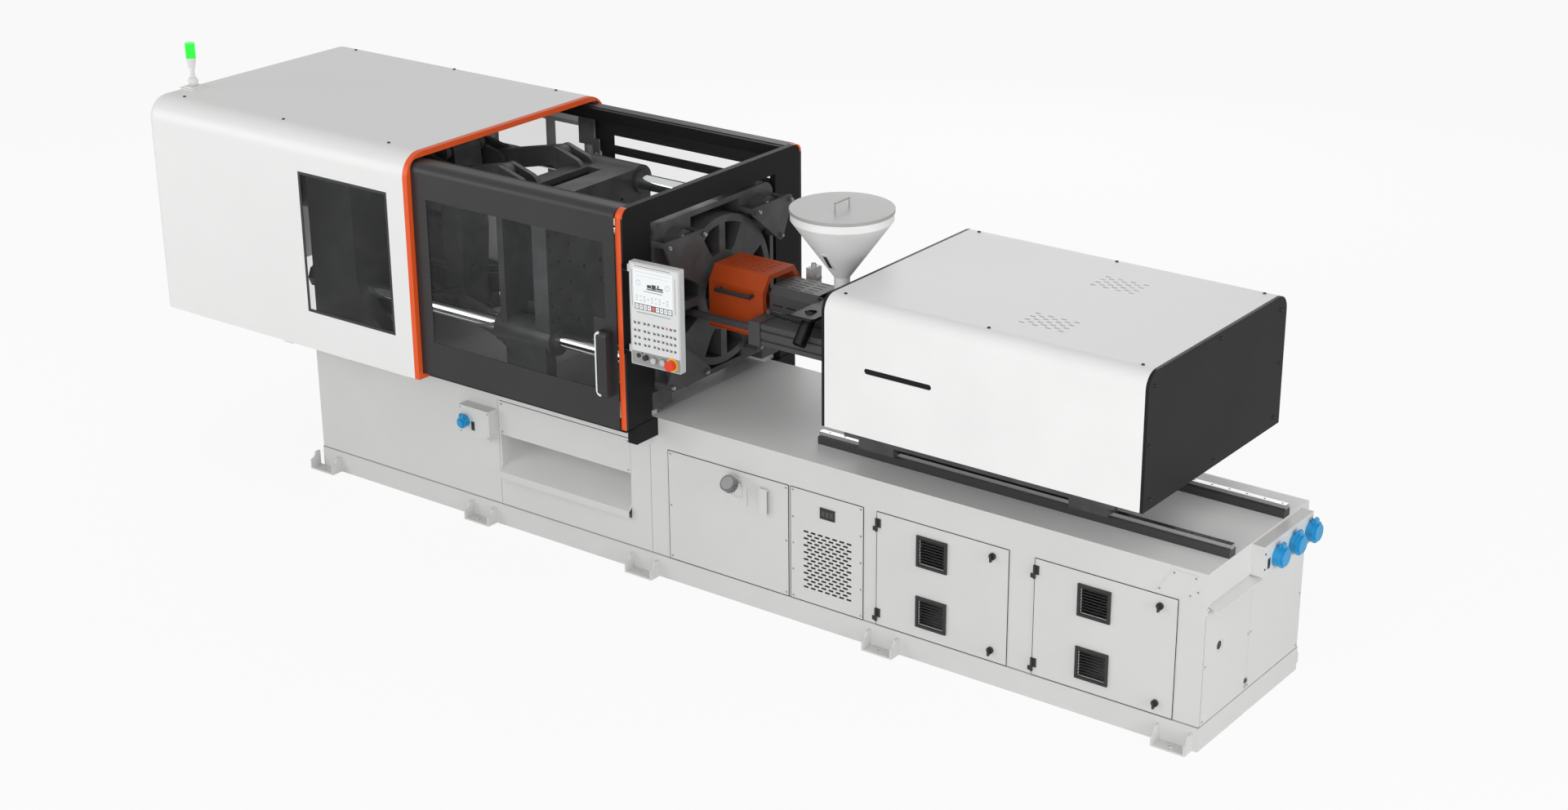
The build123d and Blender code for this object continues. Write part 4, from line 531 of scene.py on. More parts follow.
def addSlab(bm, x, y, z, soften=0.0, place=None):
    # sheet or block between two levels on each axis, with softened edges
    low, high = (Vector(corner) for corner in zip(x, y, z))
    spot = Matrix.Translation((low + high) / 2) @ Matrix.Diagonal((*map(abs, high - low), 1))
    made = bmesh.ops.create_cube(bm, size=1.0, matrix=(place @ spot) if place else spot)
    if soften:
        edges = list({edge for corner in made["verts"] for edge in corner.link_edges})
        bmesh.ops.bevel(bm, geom=edges, offset=soften, segments=2, profile=0.5, affect="EDGES", material=-1)


def addRing(bm, at, out, radius, wall, height, sides=32):
    # turned ring: a small square profile spun about its axis
    spot = facing(at, out)
    section = [bm.verts.new(spot @ Vector(p)) for p in (
        (radius - wall, 0, 0), (radius, 0, 0), (radius, 0, height), (radius - wall, 0, height),
    )]
    loop = [bm.edges.new((section[i], section[(i + 1) % 4])) for i in range(4)]
    bmesh.ops.spin(
        bm, geom=section + loop, cent=spot.translation, axis=spot.to_3x3() @ Vector((0, 0, 1)),
        dvec=(0, 0, 0), angle=2 * pi, steps=sides, use_merge=True,
    )


def screwSet(name, body, out, places, finish, radius, height, sides=12):
    # screws of one kind as one piece
    bm = bmesh.new()
    for at in places:
        addScrew(bm, at, out, radius, height, sides)
    return keep(name, bm, finish, body)


# places on a level face, an upright face along the machine and one across it
def onTop(level, spots):
    return [(x, y, level) for x, y in spots]


def onFront(level, spots):
    return [(x, level, z) for x, z in spots]


def onEnd(level, spots):
    return [(level, y, z) for y, z in spots]


def fieldEdge(a0, a1, b0, b1, columns, rows):
    # screw places round the edge of a panel
    spots = []
    for i in range(columns):
        for j in range(rows):
            if i in (0, columns - 1) or j in (0, rows - 1):
                spots.append((a0 + (a1 - a0) * i / (columns - 1), b0 + (b1 - b0) * j / (rows - 1)))
    return spots


print("stage: screws of covers and panels")
operator, rear, outEnd, up = (0, -1, 0), (0, 1, 0), (1, 0, 0), (0, 0, 1)
screwFaces = {
    "cover": 1.831, "hood": 1.602, "hoodPlate": 2.239, "base": -0.437, "baseEnd": 2.463, "access": -0.440,
    "endBox": 2.522, "clampBox": -0.494,
}
coverSpots = onTop(screwFaces["cover"], [
    (-3.095, -0.571), (-2.405, -0.571), (-1.718, -0.568), (-3.095, 0.573), (-2.405, 0.580), (-1.718, 0.573),
])
hoodSpots = onTop(screwFaces["hood"], [(x, side * 0.500) for side in (-1, 1) for x in (0.790, 1.480, 2.170)])
hoodPlateSpots = onEnd(screwFaces["hoodPlate"], [
    (-0.520, 1.070), (0.0, 1.055), (0.520, 1.070), (-0.520, 1.540), (0.520, 1.540), (0.0, 1.575),
    (-0.545, 1.300), (0.545, 1.300),
])
panelFields = {  # low and high edge, low and high level, columns, rows
    "front": [
        (-0.212, 0.430, 0.126, 0.624, 2, 3), (0.468, 0.826, 0.124, 0.626, 2, 5),
        (-1.228, -0.460, 0.484, 0.624, 2, 2),
    ],
    "end": [(-0.412, -0.052, 0.126, 0.610, 2, 3), (-0.028, 0.412, 0.126, 0.610, 2, 3)],
}
frontSpots = onFront(screwFaces["base"], [at for field in panelFields["front"] for at in fieldEdge(*field)])
endSpots = onEnd(screwFaces["baseEnd"], [at for field in panelFields["end"] for at in fieldEdge(*field)])
accessSpots = onFront(screwFaces["access"], [
    (2.258, 0.668), (2.320, 0.752), (2.416, 0.752), (2.428, 0.696), (2.394, 0.672),
])
for row in (  # name, body, direction, places, finish, radius, height
    ("clampCoverScrews", "machine", up, coverSpots, "blackSteel", 0.008, 0.004),
    ("hoodScrews", "injection_unit", up, hoodSpots, "blackSteel", 0.0075, 0.004),
    ("hoodPlateScrews", "injection_unit", outEnd, hoodPlateSpots, "blackSteel", 0.0075, 0.004),
    ("basePanelScrews", "machine", operator, frontSpots, "zincScrew", 0.005, 0.0025),
    ("baseEndScrews", "machine", outEnd, endSpots, "zincScrew", 0.005, 0.0025),
    ("accessPlateScrews", "machine", operator, accessSpots, "zincScrew", 0.0045, 0.0025),
):
    screwSet(*row)

print("stage: seams and small windows of the base")
# painted shadow: dark strips round the door and panel fields stand in for the shade inside the gaps between
# the panels
gapShadows = {
    "line": 0.0022, "proud": 0.0004, "sunk": 0.002, "front": -0.4371, "end": 2.4632,
    "frontFields": [
        (-0.224, 0.442, 0.112, 0.638), (0.456, 0.838, 0.112, 0.638), (0.910, 1.564, 0.112, 0.638),
        (1.690, 2.342, 0.112, 0.638),
    ],
    "endFields": [(-0.425, -0.041, 0.112, 0.600), (-0.041, 0.425, 0.112, 0.600)],
}


def outline(a0, a1, b0, b1, gap):
    # four strips round a field, outside its edge: below, above, before and behind
    return [
        ((a0 - gap, a1 + gap), (b0 - gap, b0)), ((a0 - gap, a1 + gap), (b1, b1 + gap)),
        ((a0 - gap, a0), (b0, b1)), ((a1, a1 + gap), (b0, b1)),
    ]


bm = bmesh.new()
for field in gapShadows["frontFields"]:
    for x, z in outline(*field, gapShadows["line"]):
        addSlab(bm, x, (gapShadows["front"] - gapShadows["proud"], gapShadows["front"] + gapShadows["sunk"]), z)
keep("frontGapShadows", bm, "blackSteel")
# painted shadow: grey strips beside the end panels stand in for the shade in their gaps
bm = bmesh.new()
for field in gapShadows["endFields"]:
    for y, z in outline(*field, gapShadows["line"] / 2)[2:]:
        addSlab(bm, (gapShadows["end"] - gapShadows["sunk"], gapShadows["end"] + gapShadows["proud"]), y, z)
keep("endGapShadows", bm, "footGrey")

# painted shade: grey lines along the top of the plinth and up the posts stand in for the shade at the
# plinth's step and beside the posts
plinthLine = {
    "level": (0.1063, 0.1112), "body": 0.434, "end": 2.460, "proud": 0.0012, "posts": (-1.2530, -0.3300),
    "postTop": 0.6440,
}
bm = bmesh.new()
lineFace, lineEnd = plinthLine["body"] + plinthLine["proud"], plinthLine["end"] + plinthLine["proud"]
for side in (-1, 1):
    addSlab(bm, (-plinthLine["end"], plinthLine["end"]),
            (side * (plinthLine["body"] - gapShadows["sunk"]), side * lineFace), plinthLine["level"])
    addSlab(bm, (side * (plinthLine["end"] - gapShadows["sunk"]), side * lineEnd),
            (-lineFace, lineFace), plinthLine["level"])
for post in plinthLine["posts"]:
    addSlab(bm, (post - gapShadows["line"] / 2, post + gapShadows["line"] / 2),
            (-plinthLine["body"] - gapShadows["proud"], -plinthLine["body"] + gapShadows["sunk"]),
            (plinthLine["level"][1], plinthLine["postTop"]))
keep("plinthShadeLines", bm, "stripGrey")

capFace = {"foot": (0.172, -0.443, 0.548), "tilt": 40.0, "reach": 0.0962, "radius": 0.0300, "thick": 0.0016}
capOut = Vector((0, -cos(radians(capFace["tilt"])), sin(radians(capFace["tilt"]))))
bm = bmesh.new()
capAt = Vector(capFace["foot"]) + capOut * capFace["reach"]
addDisc(bm, capAt, capOut, capFace["radius"], capFace["thick"], 36)
keep("fillerCapFace", bm, "stripGrey", "filler_cap")

# painted shade: dark discs on the port holes stand in for the shade inside them
portHoles = {"face": 2.4623, "thick": 0.0014, "spots": [(-0.303, 0.423, 0.018), (-0.042, 0.152, 0.011)]}
bm = bmesh.new()
for y, z, radius in portHoles["spots"]:
    addDisc(bm, (portHoles["face"], y, z), outEnd, radius, portHoles["thick"], 28)
keep("endPortShades", bm, "darkMoulding")

breakers = {  # half sizes across and up, depths behind and before the wall's face
    "end": {"face": 2.5222, "place": (-0.028, 0.690)}, "clamp": {"face": -0.4942, "place": (-1.361, 0.500)},
    "window": {"half": (0.010, 0.022), "depths": (0.001, 0.0015), "soften": 0.0006},
    "lever": {"half": (0.004, 0.006), "depths": (0.0, 0.005), "soften": 0.0008},
}
bm = bmesh.new()
for wall, turned in (("end", False), ("clamp", True)):
    face, (middle, level) = breakers[wall]["face"], breakers[wall]["place"]
    outward = -1 if turned else 1
    for own in (breakers["window"], breakers["lever"]):
        (half, tall), (back, front) = own["half"], own["depths"]
        across, upright = (middle - half, middle + half), (level - tall, level + tall)
        depth = (face - outward * back, face + outward * front)
        addSlab(bm, *((across, depth) if turned else (depth, across)), upright, own["soften"])
keep("breakerWindows", bm, "darkMoulding")
endBoxSpots = onEnd(screwFaces["endBox"], [(y, z) for y in (-0.062, 0.355) for z in (0.675, 0.742)])
screwSet("endBoxScrews", "machine", outEnd, endBoxSpots, "blackSteel", 0.0045, 0.0025)
clampBoxSpots = onFront(screwFaces["clampBox"], [(x, z) for x in (-1.440, -1.266) for z in (0.458, 0.580)])
screwSet("clampBoxScrews", "machine", operator, clampBoxSpots, "zincScrew", 0.0040, 0.0025)

display = {
    "x": (0.613, 0.693), "z": (0.530, 0.582), "face": -0.439, "proud": 0.0022, "sunk": 0.001,
    "soften": 0.0008,
    "first": 0.010, "pitch": 0.022, "field": 0.016, "margin": 0.014, "glass": (0.0026, 0.0020),
}
bm = bmesh.new()
addSlab(bm, display["x"], (display["face"] - display["proud"], display["face"] + display["sunk"]),
        display["z"], display["soften"])
keep("ventDisplayFrame", bm, "darkMoulding")
bm = bmesh.new()
for part in range(3):
    left = display["x"][0] + display["first"] + part * display["pitch"]
    addSlab(bm, (left, left + display["field"]), [display["face"] - rise for rise in display["glass"]],
            (display["z"][0] + display["margin"], display["z"][1] - display["margin"]))
keep("ventDisplayFields", bm, "barrelGrey")

shades = {  # painted shade: dark sheets behind the vents and the slot, where there is only shade; body and the levels on each axis
    "ventShade": ("machine", [((0.517, 0.785), (-0.4352, -0.4336), (0.172, 0.456))]),
    "hoodVentShade": ("injection_unit", [
        ((1.505, 1.770), (middle - 0.125, middle + 0.125), (1.5955, 1.5980)) for middle in (-0.304, 0.248)
    ]),
    "hoodSlotShade": ("injection_unit", [((0.925, 1.268), (-0.5685, -0.5670), (1.300, 1.340))]),
}


def makeShade(name):
    # one dark sheet of painted shade from its slabs
    body, slabs = shades[name]
    bm = bmesh.new()
    for slab in slabs:
        addSlab(bm, *slab)
    keep(name, bm, "blackPaint", body)


makeShade("ventShade")

railMarks = {
    "level": 0.8356, "rows": (-0.235, 0.235), "from": 0.520, "pitch": 0.080, "count": 25, "radius": 0.0042,
    "thick": 0.0007,
}
bm = bmesh.new()
for rowY in railMarks["rows"]:
    for i in range(railMarks["count"]):
        at = (railMarks["from"] + railMarks["pitch"] * i, rowY, railMarks["level"])
        addDisc(bm, at, up, railMarks["radius"], railMarks["thick"], 12)
keep("railPlugs", bm, "darkMoulding")

print("stage: sight glass of the hopper")
sight = {
    "axis": 0.413, "low": (0.035, 1.461), "top": (0.224, 1.722), "share": 0.36, "size": (0.034, 0.100),
    "soften": 0.0012,
}
coneRun = Vector((0, -(sight["top"][0] - sight["low"][0]), sight["top"][1] - sight["low"][1]))
coneOut = Vector((0, -coneRun.z, coneRun.y)).normalized()
sightAt = Vector((sight["axis"], -sight["low"][0], sight["low"][1])) + coneRun * sight["share"]
sightTurn = Matrix((Vector((1, 0, 0)), coneRun.normalized(), coneOut)).transposed()
sightPlace = Matrix.Translation(sightAt) @ sightTurn.to_4x4()
for glassName, glassFinish, share, rise in (
    ("sightFrame", "filmWhite", 1.0, (-0.004, 0.0030)),
    ("sightGlass", "darkMoulding", 0.56, (-0.002, 0.0040)),
):
    bm = bmesh.new()
    wide, tall = sight["size"][0] * share, sight["size"][1] * (share + 1) / 2
    addSlab(bm, (-wide / 2, wide / 2), (-tall / 2, tall / 2), rise, sight["soften"], sightPlace)
    keep(glassName, bm, glassFinish, "injection_unit")

print("stage: hood vents, drain slide and valve block")
makeShade("hoodVentShade")
makeShade("hoodSlotShade")

drain = {
    "hole": (0.413, -0.222, 1.3635), "radius": 0.024, "x": (0.358, 0.478), "y": (-0.302, -0.1055),
    "thick": 0.012, "lap": 0.004, "wall": 0.003, "reach": 0.150, "lean": (0, -0.62, -0.78), "sides": 32,
}


def addHoledPlate(bm, hole, radius, x, y, thick, sides):
    # plate with one round hole: both outlines share their angles and are bridged
    loops = []
    hole = Vector(hole)
    for outer in (False, True):
        made = bmesh.ops.create_circle(bm, segments=sides, radius=radius, matrix=Matrix.Translation(hole))
        for corner in made["verts"]:
            if outer:
                way = corner.co - hole
                reaches = [(span[along > 0] - start) / along for span, start, along in
                           ((x, hole.x, way.x), (y, hole.y, way.y)) if abs(along) > 1e-6]
                corner.co = hole + way * min(reaches)
        loops += list({edge for corner in made["verts"] for edge in corner.link_edges})
    bridged = bmesh.ops.bridge_loops(bm, edges=loops)
    grown = bmesh.ops.extrude_face_region(bm, geom=bridged["faces"])
    bmesh.ops.translate(bm, verts=only(grown["geom"], bmesh.types.BMVert), vec=(0, 0, -thick))


bm = bmesh.new()
addHoledPlate(bm, drain["hole"], drain["radius"], drain["x"], drain["y"], drain["thick"], drain["sides"])
spoutAt = Vector(drain["hole"]) - Vector((0, 0, drain["thick"] - drain["lap"]))
addRing(bm, spoutAt, drain["lean"], drain["radius"] + drain["wall"] * 2, drain["wall"], drain["reach"])
keep("drainSlide", bm, "blackSteel", "injection_unit")

valve = {
    "x": (0.0965, 0.134), "y": (0.166, 0.234), "z": (1.2665, 1.392), "soften": 0.002,
    "stubs": [((0.134, 0.200, 1.300), outEnd, 0.018), ((0.134, 0.200, 1.345), outEnd, 0.018),
              ((0.115, 0.200, 1.392), up, 0.016)],
    "stub": 0.013,
}
bm = bmesh.new()
addSlab(bm, valve["x"], valve["y"], valve["z"], valve["soften"])
for at, out, reach in valve["stubs"]:
    addScrew(bm, at, out, valve["stub"], reach, 6)
keep("valveBlock", bm, "buttonGrey", "injection_unit")

print("stage: clamp fittings")
plateBolts = {"face": -0.1842, "spots": [(0.438, 0.323), (0.198, 0.323), (0.366, 0.173)], "middle": 1.267}
boltSpots = [(side * y, plateBolts["middle"] + rise * z)
             for side in (-1, 1) for rise in (-1, 1) for y, z in plateBolts["spots"]]
screwSet("platenBolts", "machine", outEnd, onEnd(plateBolts["face"], boltSpots),
         "zincScrew", 0.0105, 0.0080, 6)

crowns = {  # orange ends over the upper corners of the end frame: two arcs side by side
    "arcs": ((0.604, 0.0404), (0.592, 0.0396)), "level": 1.753, "x": (-0.313, -0.2823), "end": 86,
    "steps": 12,
}
crownTurns = [radians(crowns["end"]) * i / crowns["steps"] for i in range(crowns["steps"] + 1)]
bm = bmesh.new()
for side in (-1, 1):
    outer, inner = (
        [(side * (middle + radius * cos(a)), crowns["level"] + radius * sin(a)) for a in crownTurns]
        for middle, radius in crowns["arcs"]
    )
    crescent = [bm.verts.new((crowns["x"][0], y, z)) for y, z in outer + inner[::-1]]
    grown = bmesh.ops.extrude_face_region(bm, geom=[bm.faces.new(crescent)])
    width = crowns["x"][1] - crowns["x"][0]
    bmesh.ops.translate(bm, verts=only(grown["geom"], bmesh.types.BMVert), vec=(width, 0, 0))
keep("trimCrowns", bm, "orangePaint")

hanger = {
    "slabs": [
        ((-1.560, -1.459), (0.549, 0.556), (1.600, 1.751)),
        ((-1.470, -1.424), (0.545, 0.549), (1.545, 1.640)),
    ],
    "soften": 0.001, "roller": (-1.447, 0.549, 1.562), "radius": 0.020, "width": 0.016, "arm": 0.545,
}
bm = bmesh.new()
for slab in hanger["slabs"]:
    addSlab(bm, *slab, hanger["soften"])
keep("doorHanger", bm, "zincScrew")
bm = bmesh.new()
addDisc(bm, hanger["roller"], rear, hanger["radius"], hanger["width"], 32)
addScrew(bm, (hanger["roller"][0], hanger["arm"], hanger["roller"][2]), operator, 0.008, 0.005, 6)
keep("doorRoller", bm, "buttonGrey")

# bright bow along the grip's edge: a circle spun round the upper bend, drawn down, spun round the lower
handleTrim = {
    "side": (-0.4018, -0.6928), "radius": 0.0060, "bend": 0.020, "top": 1.236, "low": 0.946, "sides": 14,
    "steps": 8,
}
bend = handleTrim["bend"]
straight = handleTrim["top"] - handleTrim["low"] - 2 * bend
bendX, bendY = handleTrim["side"][0] + bend, handleTrim["side"][1]
bm = bmesh.new()
start = bmesh.ops.create_circle(
    bm, segments=handleTrim["sides"], radius=handleTrim["radius"],
    matrix=Matrix.Translation((bendX, bendY, handleTrim["top"])) @ Matrix.Rotation(radians(90), 4, "Y"),
)["verts"]
rim = start + list({edge for corner in start for edge in corner.link_edges})
for centreZ, drop in ((handleTrim["top"] - bend, straight), (handleTrim["low"] + bend, 0)):
    swept = bmesh.ops.spin(
        bm, geom=rim, cent=(bendX, bendY, centreZ), axis=(0, 1, 0), dvec=(0, 0, 0), angle=radians(-90),
        steps=handleTrim["steps"],
    )
    rim = swept["geom_last"]
    if drop:
        grown = bmesh.ops.extrude_edge_only(bm, edges=only(rim, bmesh.types.BMEdge))
        rim = only(grown["geom"], (bmesh.types.BMVert, bmesh.types.BMEdge))
        bmesh.ops.translate(bm, verts=only(rim, bmesh.types.BMVert), vec=(0, 0, -drop))
bmesh.ops.holes_fill(bm, edges=bm.edges, sides=0)
keep("handleTrim", bm, "satinSheet", "front_door", True)

print("stage: windows")
clampBand = {"x": (-2.217, -1.640), "z": (0.947, 1.638), "y": (-0.6808, -0.6780), "band": 0.020}


def windowBand(name, body, x, z, y, band):
    # rubber band round the inside of a window opening
    bm = bmesh.new()
    bmesh.ops.create_grid(
        bm, x_segments=1, y_segments=1, size=0.5, matrix=Matrix.Diagonal((x[1] - x[0], z[1] - z[0], 1, 1)),
    )
    bmesh.ops.rotate(bm, verts=bm.verts, matrix=Matrix.Rotation(radians(90), 3, "X"))
    bmesh.ops.translate(bm, verts=bm.verts, vec=((x[0] + x[1]) / 2, y[0], (z[0] + z[1]) / 2))
    pane = list(bm.faces)
    bmesh.ops.inset_region(bm, faces=pane, thickness=band, use_boundary=True)
    bmesh.ops.delete(bm, geom=pane, context="FACES")
    bmesh.ops.solidify(bm, geom=list(bm.faces), thickness=y[1] - y[0])
    shift = y[0] - min(corner.co.y for corner in bm.verts)
    bmesh.ops.translate(bm, verts=bm.verts, vec=(0, shift, 0))
    return keep(name, bm, "darkMoulding", body)


windowBand("clampWindowBand", "machine", **clampBand)

print("stage: control panel")
desk = {"corner": (-0.202, -0.690), "low": 1.137, "turn": 3.3, "height": 463}
slant = radians(desk["turn"])
deskPlace = Matrix((
    (cos(slant), 0, sin(slant), desk["corner"][0]),
    (sin(slant), 0, -cos(slant), desk["corner"][1]),
    (0, 1, 0, desk["low"]),
    (0, 0, 0, 1),
))
deskOut = deskPlace.to_3x3() @ Vector((0, 0, 1))
screenFinishes = {
    "screenLight": {"colour": (0.72, 0.74, 0.75), "glow": 0.22},
    "screenInk": {"colour": (0.06, 0.065, 0.07), "glow": 0.0},
    "screenGrey": {"colour": (0.36, 0.38, 0.40), "glow": 0.05},
    "screenRed": {"colour": (0.62, 0.10, 0.06), "glow": 0.1},
}
for screenName, look in screenFinishes.items():
    ink = Finish(screenName)
    mottle = ink.noise(60.0, 1.0)
    ink.shade({
        "Base Color": ink.mix(mottle, tint(look["colour"], 0.97), tint(look["colour"], 1.03)),
        "Roughness": 0.28 + mottle * 0.06,
        "Emission Color": look["colour"] + (1,),
        "Emission Strength": look["glow"],
    })


def onDesk(u, v, w):
    # a place on the panel from millimetres across, up and out of it
    return deskPlace @ Vector((u / 1000, v / 1000, w / 1000))


def addDeskSlab(bm, row, soften=0.0):
    # one slab on the panel from its levels in millimetres
    u0, u1, v0, v1, w0, w1 = (value / 1000 for value in row)
    addSlab(bm, (u0, u1), (v0, v1), (w0, w1), soften, deskPlace)


def deskSlabs(name, finish, rows, soften=0.0):
    # flat pieces on the panel: u from, u to, v from, v to, rise from, rise to (mm)
    bm = bmesh.new()
    for row in rows:
        addDeskSlab(bm, row, soften)
    return keep(name, bm, finish, "control_panel")


def fromTop(u0, u1, v0, v1, w0, w1):
    # the same, with v counted down from the panel's top edge
    return (u0, u1, desk["height"] - v0, desk["height"] - v1, w0, w1)


screen = {"keys": 9, "keyU": (28, 222), "gap": 2, "sign": 7, "red": 4, "inks": (1.9, 2.1)}
deskSlabs("panelScreen", "screenLight", [fromTop(22, 226, 208, 26, 1.4, 2.0)])
deskSlabs("panelScreenFrame", "screenInk", [fromTop(*row, 1.4, 1.8) for row in (
    (30, 216, 16, 14), (36, 214, 222, 220), (13, 14.5, 196, 34), (238, 239.5, 200, 40),
)])
deskSlabs("panelKeyBar", "screenInk", [fromTop(26, 224, 207, 181, 1.9, 2.2)])
keyStep = (screen["keyU"][1] - screen["keyU"][0]) / screen["keys"]
keyLefts = [screen["keyU"][0] + keyStep * i for i in range(screen["keys"])]
softKeys = [fromTop(u + screen["gap"], u + keyStep - screen["gap"], 204, 184, 2.1, 2.5) for u in keyLefts]
softSigns = [fromTop(u + screen["sign"], u + keyStep - screen["sign"], 197, 190, 2.4, 2.6) for u in keyLefts]
deskSlabs("panelSoftKeys", "screenLight", [key for i, key in enumerate(softKeys) if i != screen["red"]])
deskSlabs("panelSoftKeyRed", "screenRed", [softKeys[screen["red"]]])
deskSlabs("panelSoftKeySigns", "screenGrey", softSigns)
# pages of the screen: rules, value fields and a plain side view of a machine
rules = [(30, 218, 40, 39), (40, 210, 56, 55.2), (76, 172, 124, 120)]
values = [(34 + 20 * i, 44 + 20 * i, 148 + 10 * j, 145 + 10 * j)
          for i in range(9) for j in range(3) if (i + 2 * j) % 4 != 3]
sideView = [
    (94, 116, 104, 90), (118, 140, 106, 86), (142, 176, 104, 96), (92, 178, 112, 107), (148, 156, 95, 84),
]
deskSlabs("panelScreenRules", "screenGrey", [fromTop(*row, *screen["inks"]) for row in rules + values])
deskSlabs("panelScreenMachine", "screenInk", [fromTop(*row, *screen["inks"]) for row in sideView])
gauges = {  # the hand reaches left, right and up from the centre
    "centres": [(48, 88), (200, 88)], "radius": 0.012, "wall": 0.0016, "thick": 0.0003, "hand": (1, 0.6, 9),
}
left, right, reach = gauges["hand"]
bm = bmesh.new()
for u, v in gauges["centres"]:
    centre = onDesk(u, desk["height"] - v, 1.9)
    addRing(bm, centre, deskOut, gauges["radius"], gauges["wall"], gauges["thick"], 28)
    addDeskSlab(bm, fromTop(u - left, u + right, v, v - reach, 1.9, 2.2))
keep("panelGauges", bm, "screenGrey", "control_panel")

keyField = {
    "pairs": (26, 77, 127, 172, 214), "step": 21, "shift": 9, "rows": (270, 305, 336, 367), "size": 17,
    "red": (3, 0, 1),
}
keyPads, keySigns, redSigns = [], [], []
for pairIndex, pairU in enumerate(keyField["pairs"]):
    for rowIndex, rowV in enumerate(keyField["rows"]):
        for half in (0, 1):
            u0 = pairU - keyField["shift"] + keyField["step"] * half
            v0 = desk["height"] - rowV - keyField["size"] / 2
            keyPads.append((u0, u0 + keyField["size"], v0, v0 + keyField["size"], 1.4, 2.2))
            marks = redSigns if (pairIndex, rowIndex, half) == keyField["red"] else keySigns
            lift = (pairIndex + rowIndex + half) % 3
            marks.append((u0 + 2.5, u0 + 6.5, v0 + 3, v0 + 15, 2.1, 2.4))
            marks.append((u0 + 7.5, u0 + 14.5, v0 + 3 + lift, v0 + 12 + lift, 2.1, 2.4))
deskSlabs("panelKeys", "filmWhite", keyPads, 0.0008)
deskSlabs("panelKeySigns", "screenInk", keySigns)
deskSlabs("panelKeySignsRed", "screenRed", redSigns)
deskSlabs("panelStrip", "stripGrey", [(4, 258, 3, 62, -0.2, 0.25)], 0.0002)

# the stop's collar leaves room for the head when it is pushed
collars = {  # finish, radius, wall, sides, places across and up
    "stopCollar": ("stopYellow", 0.030, 0.0072, 36, [(215, 34)]),
    "buttonBezels": ("zincScrew", 0.0165, 0.0032, 28, [(122, 36), (170, 37), (79, 41)]),
}
for collarName, (collarFinish, radius, wall, sides, spots) in collars.items():
    bm = bmesh.new()
    for u, v in spots:
        addRing(bm, onDesk(u, v, 0.2), deskOut, radius, wall, 0.0035, sides)
    keep(collarName, bm, collarFinish, "control_panel")
bm = bmesh.new()
addDisc(bm, onDesk(40, 44, 0.2), deskOut, 0.0100, 0.004, 24)
addDisc(bm, onDesk(58, 56, 0.2), deskOut, 0.0035, 0.002, 16)
keep("keyLockAndPort", bm, "darkMoulding", "control_panel")

print("stage: light and studio")
studio = {
    "world": 0.54, "gloss": 0.72, "show": 1.0, "floorColour": 0.80, "floorShow": 0.90, "floorSize": 60.0,
    "lamps": {  # place, aim, size, watts
        "keyLamp": ((4.0, -9.8, 3.2), (0.0, 0.0, 1.0), 6.0, 380),
        "sideLamp": ((9.5, -1.5, 2.6), (0.5, 0.0, 0.8), 5.0, 260),
        "backLamp": ((-3.0, 7.0, 4.0), (0.0, 0.0, 1.2), 5.0, 90),
        "leftLamp": ((-7.5, -6.0, 3.0), (-1.5, 0.0, 1.2), 4.5, 150),
    },
}
world = bpy.data.worlds.new("studioWorld")
bpy.context.scene.world = world
world.use_nodes = True
sky = world.node_tree
sky.nodes.clear()
skyEnd = sky.nodes.new("ShaderNodeOutputWorld")
skyRay = sky.nodes.new("ShaderNodeLightPath")
skyGlow = sky.nodes.new("ShaderNodeBackground")
skyGlow.inputs["Color"].default_value = (1, 1, 1, 1)
strength = None
for rayKind, rayLevel in (
    ("Is Camera Ray", studio["show"]), ("Is Transmission Ray", studio["show"]),
    ("Is Glossy Ray", studio["gloss"]),
):
    # each kind of ray raises the strength from the level of the soft light
    step = sky.nodes.new("ShaderNodeMath")
    step.operation = "MULTIPLY_ADD"
    step.inputs[1].default_value = rayLevel - studio["world"]
    step.inputs[2].default_value = studio["world"]
    sky.links.new(skyRay.outputs[rayKind], step.inputs[0])
    if strength:
        sky.links.new(strength.outputs[0], step.inputs[2])
    strength = step
sky.links.new(strength.outputs[0], skyGlow.inputs["Strength"])
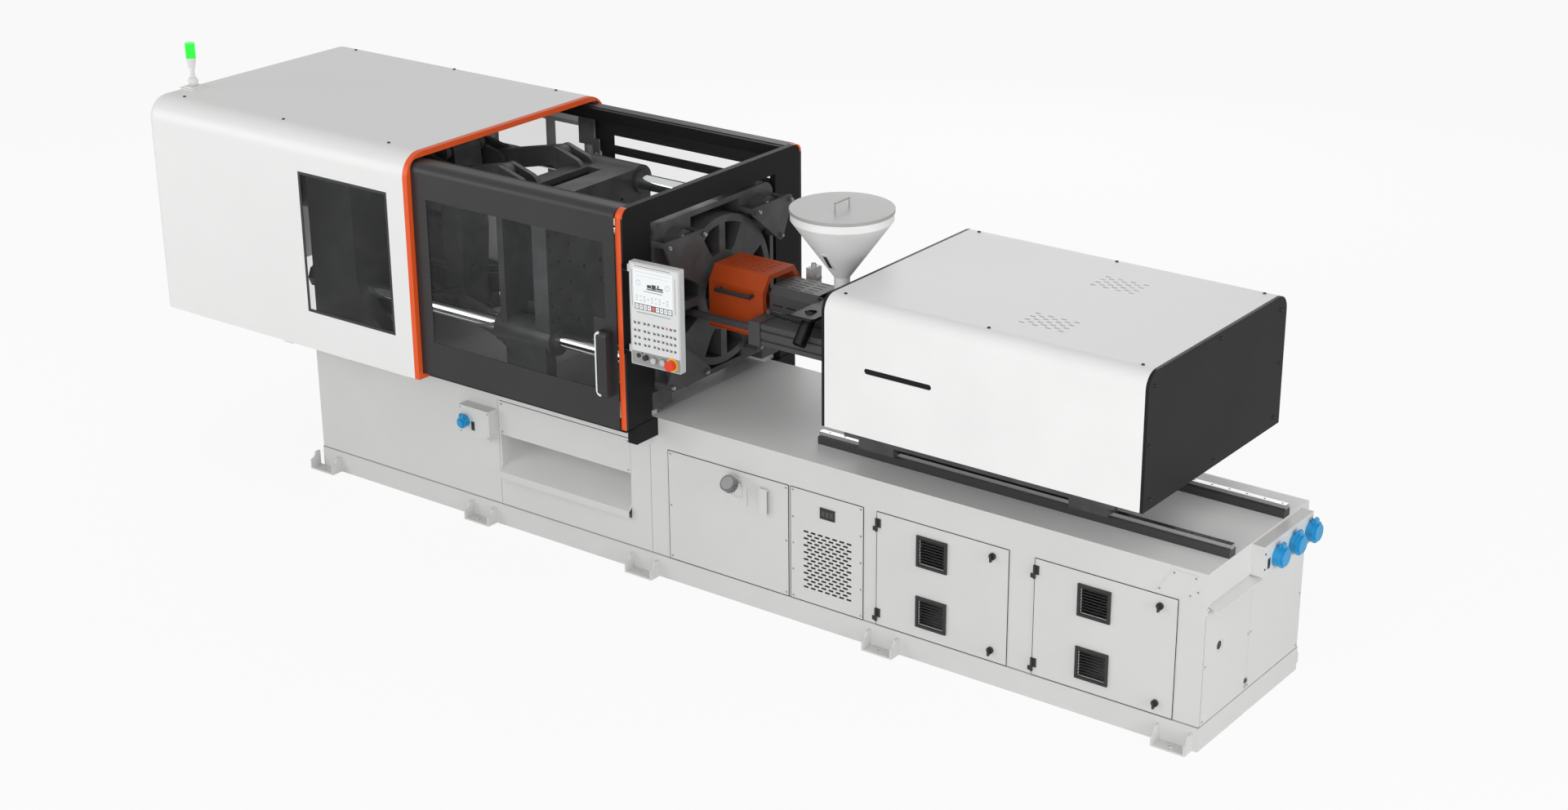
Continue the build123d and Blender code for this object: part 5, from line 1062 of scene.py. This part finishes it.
sky.links.new(skyGlow.outputs[0], skyEnd.inputs["Surface"])

floorFinish = Finish("studioFloor")
floorRay = floorFinish.node("LightPath", out="Is Camera Ray")
floorBody = floorFinish.node("BsdfDiffuse", None, {"Color": (studio["floorColour"],) * 3 + (1,)})
floorGlow = floorFinish.node("Emission", None, {"Color": (1, 1, 1, 1), "Strength": 1.0})
floorParts = {0: floorRay * studio["floorShow"], 1: floorBody, 2: floorGlow}
floorMix = floorFinish.node("MixShader", None, floorParts)
floorFinish.tree.links.new(floorMix.socket, floorFinish.end.inputs["Surface"])
bm = bmesh.new()
bmesh.ops.create_grid(bm, x_segments=1, y_segments=1, size=studio["floorSize"])
floorMesh = bpy.data.meshes.new("studioFloor")
bm.to_mesh(floorMesh)
bm.free()
floorMesh.materials.append(finishes["studioFloor"])
floorPiece = bpy.data.objects.new("studioFloor", floorMesh)
bpy.context.scene.collection.objects.link(floorPiece)

for lampName, (lampPlace, lampAim, lampSize, lampWatts) in studio["lamps"].items():
    lamp = bpy.data.lights.new(lampName, "AREA")
    lamp.shape = "DISK"
    lamp.size = lampSize
    lamp.energy = lampWatts
    holder = bpy.data.objects.new(lampName, lamp)
    holder.location = lampPlace
    holder.rotation_euler = (Vector(lampAim) - Vector(lampPlace)).to_track_quat("-Z", "Y").to_euler()
    bpy.context.scene.collection.objects.link(holder)

view = {
    "place": (6.49042, -8.48721, 5.05028), "turn": (67.760, 0.0, 35.914), "lens": 58.607,
    "shift": (-0.02872, 0.01086), "sensor": 36.0, "reach": 200.0,
}
cameraData = bpy.data.cameras.new("camera")
cameraData.sensor_width = view["sensor"]
cameraData.lens = view["lens"]
cameraData.shift_x, cameraData.shift_y = view["shift"]
cameraData.clip_end = view["reach"]
camera = bpy.data.objects.new("camera", cameraData)
camera.location = view["place"]
camera.rotation_euler = [radians(angle) for angle in view["turn"]]
bpy.context.scene.collection.objects.link(camera)
bpy.context.scene.camera = camera
bpy.context.scene.view_settings.view_transform = "Standard"
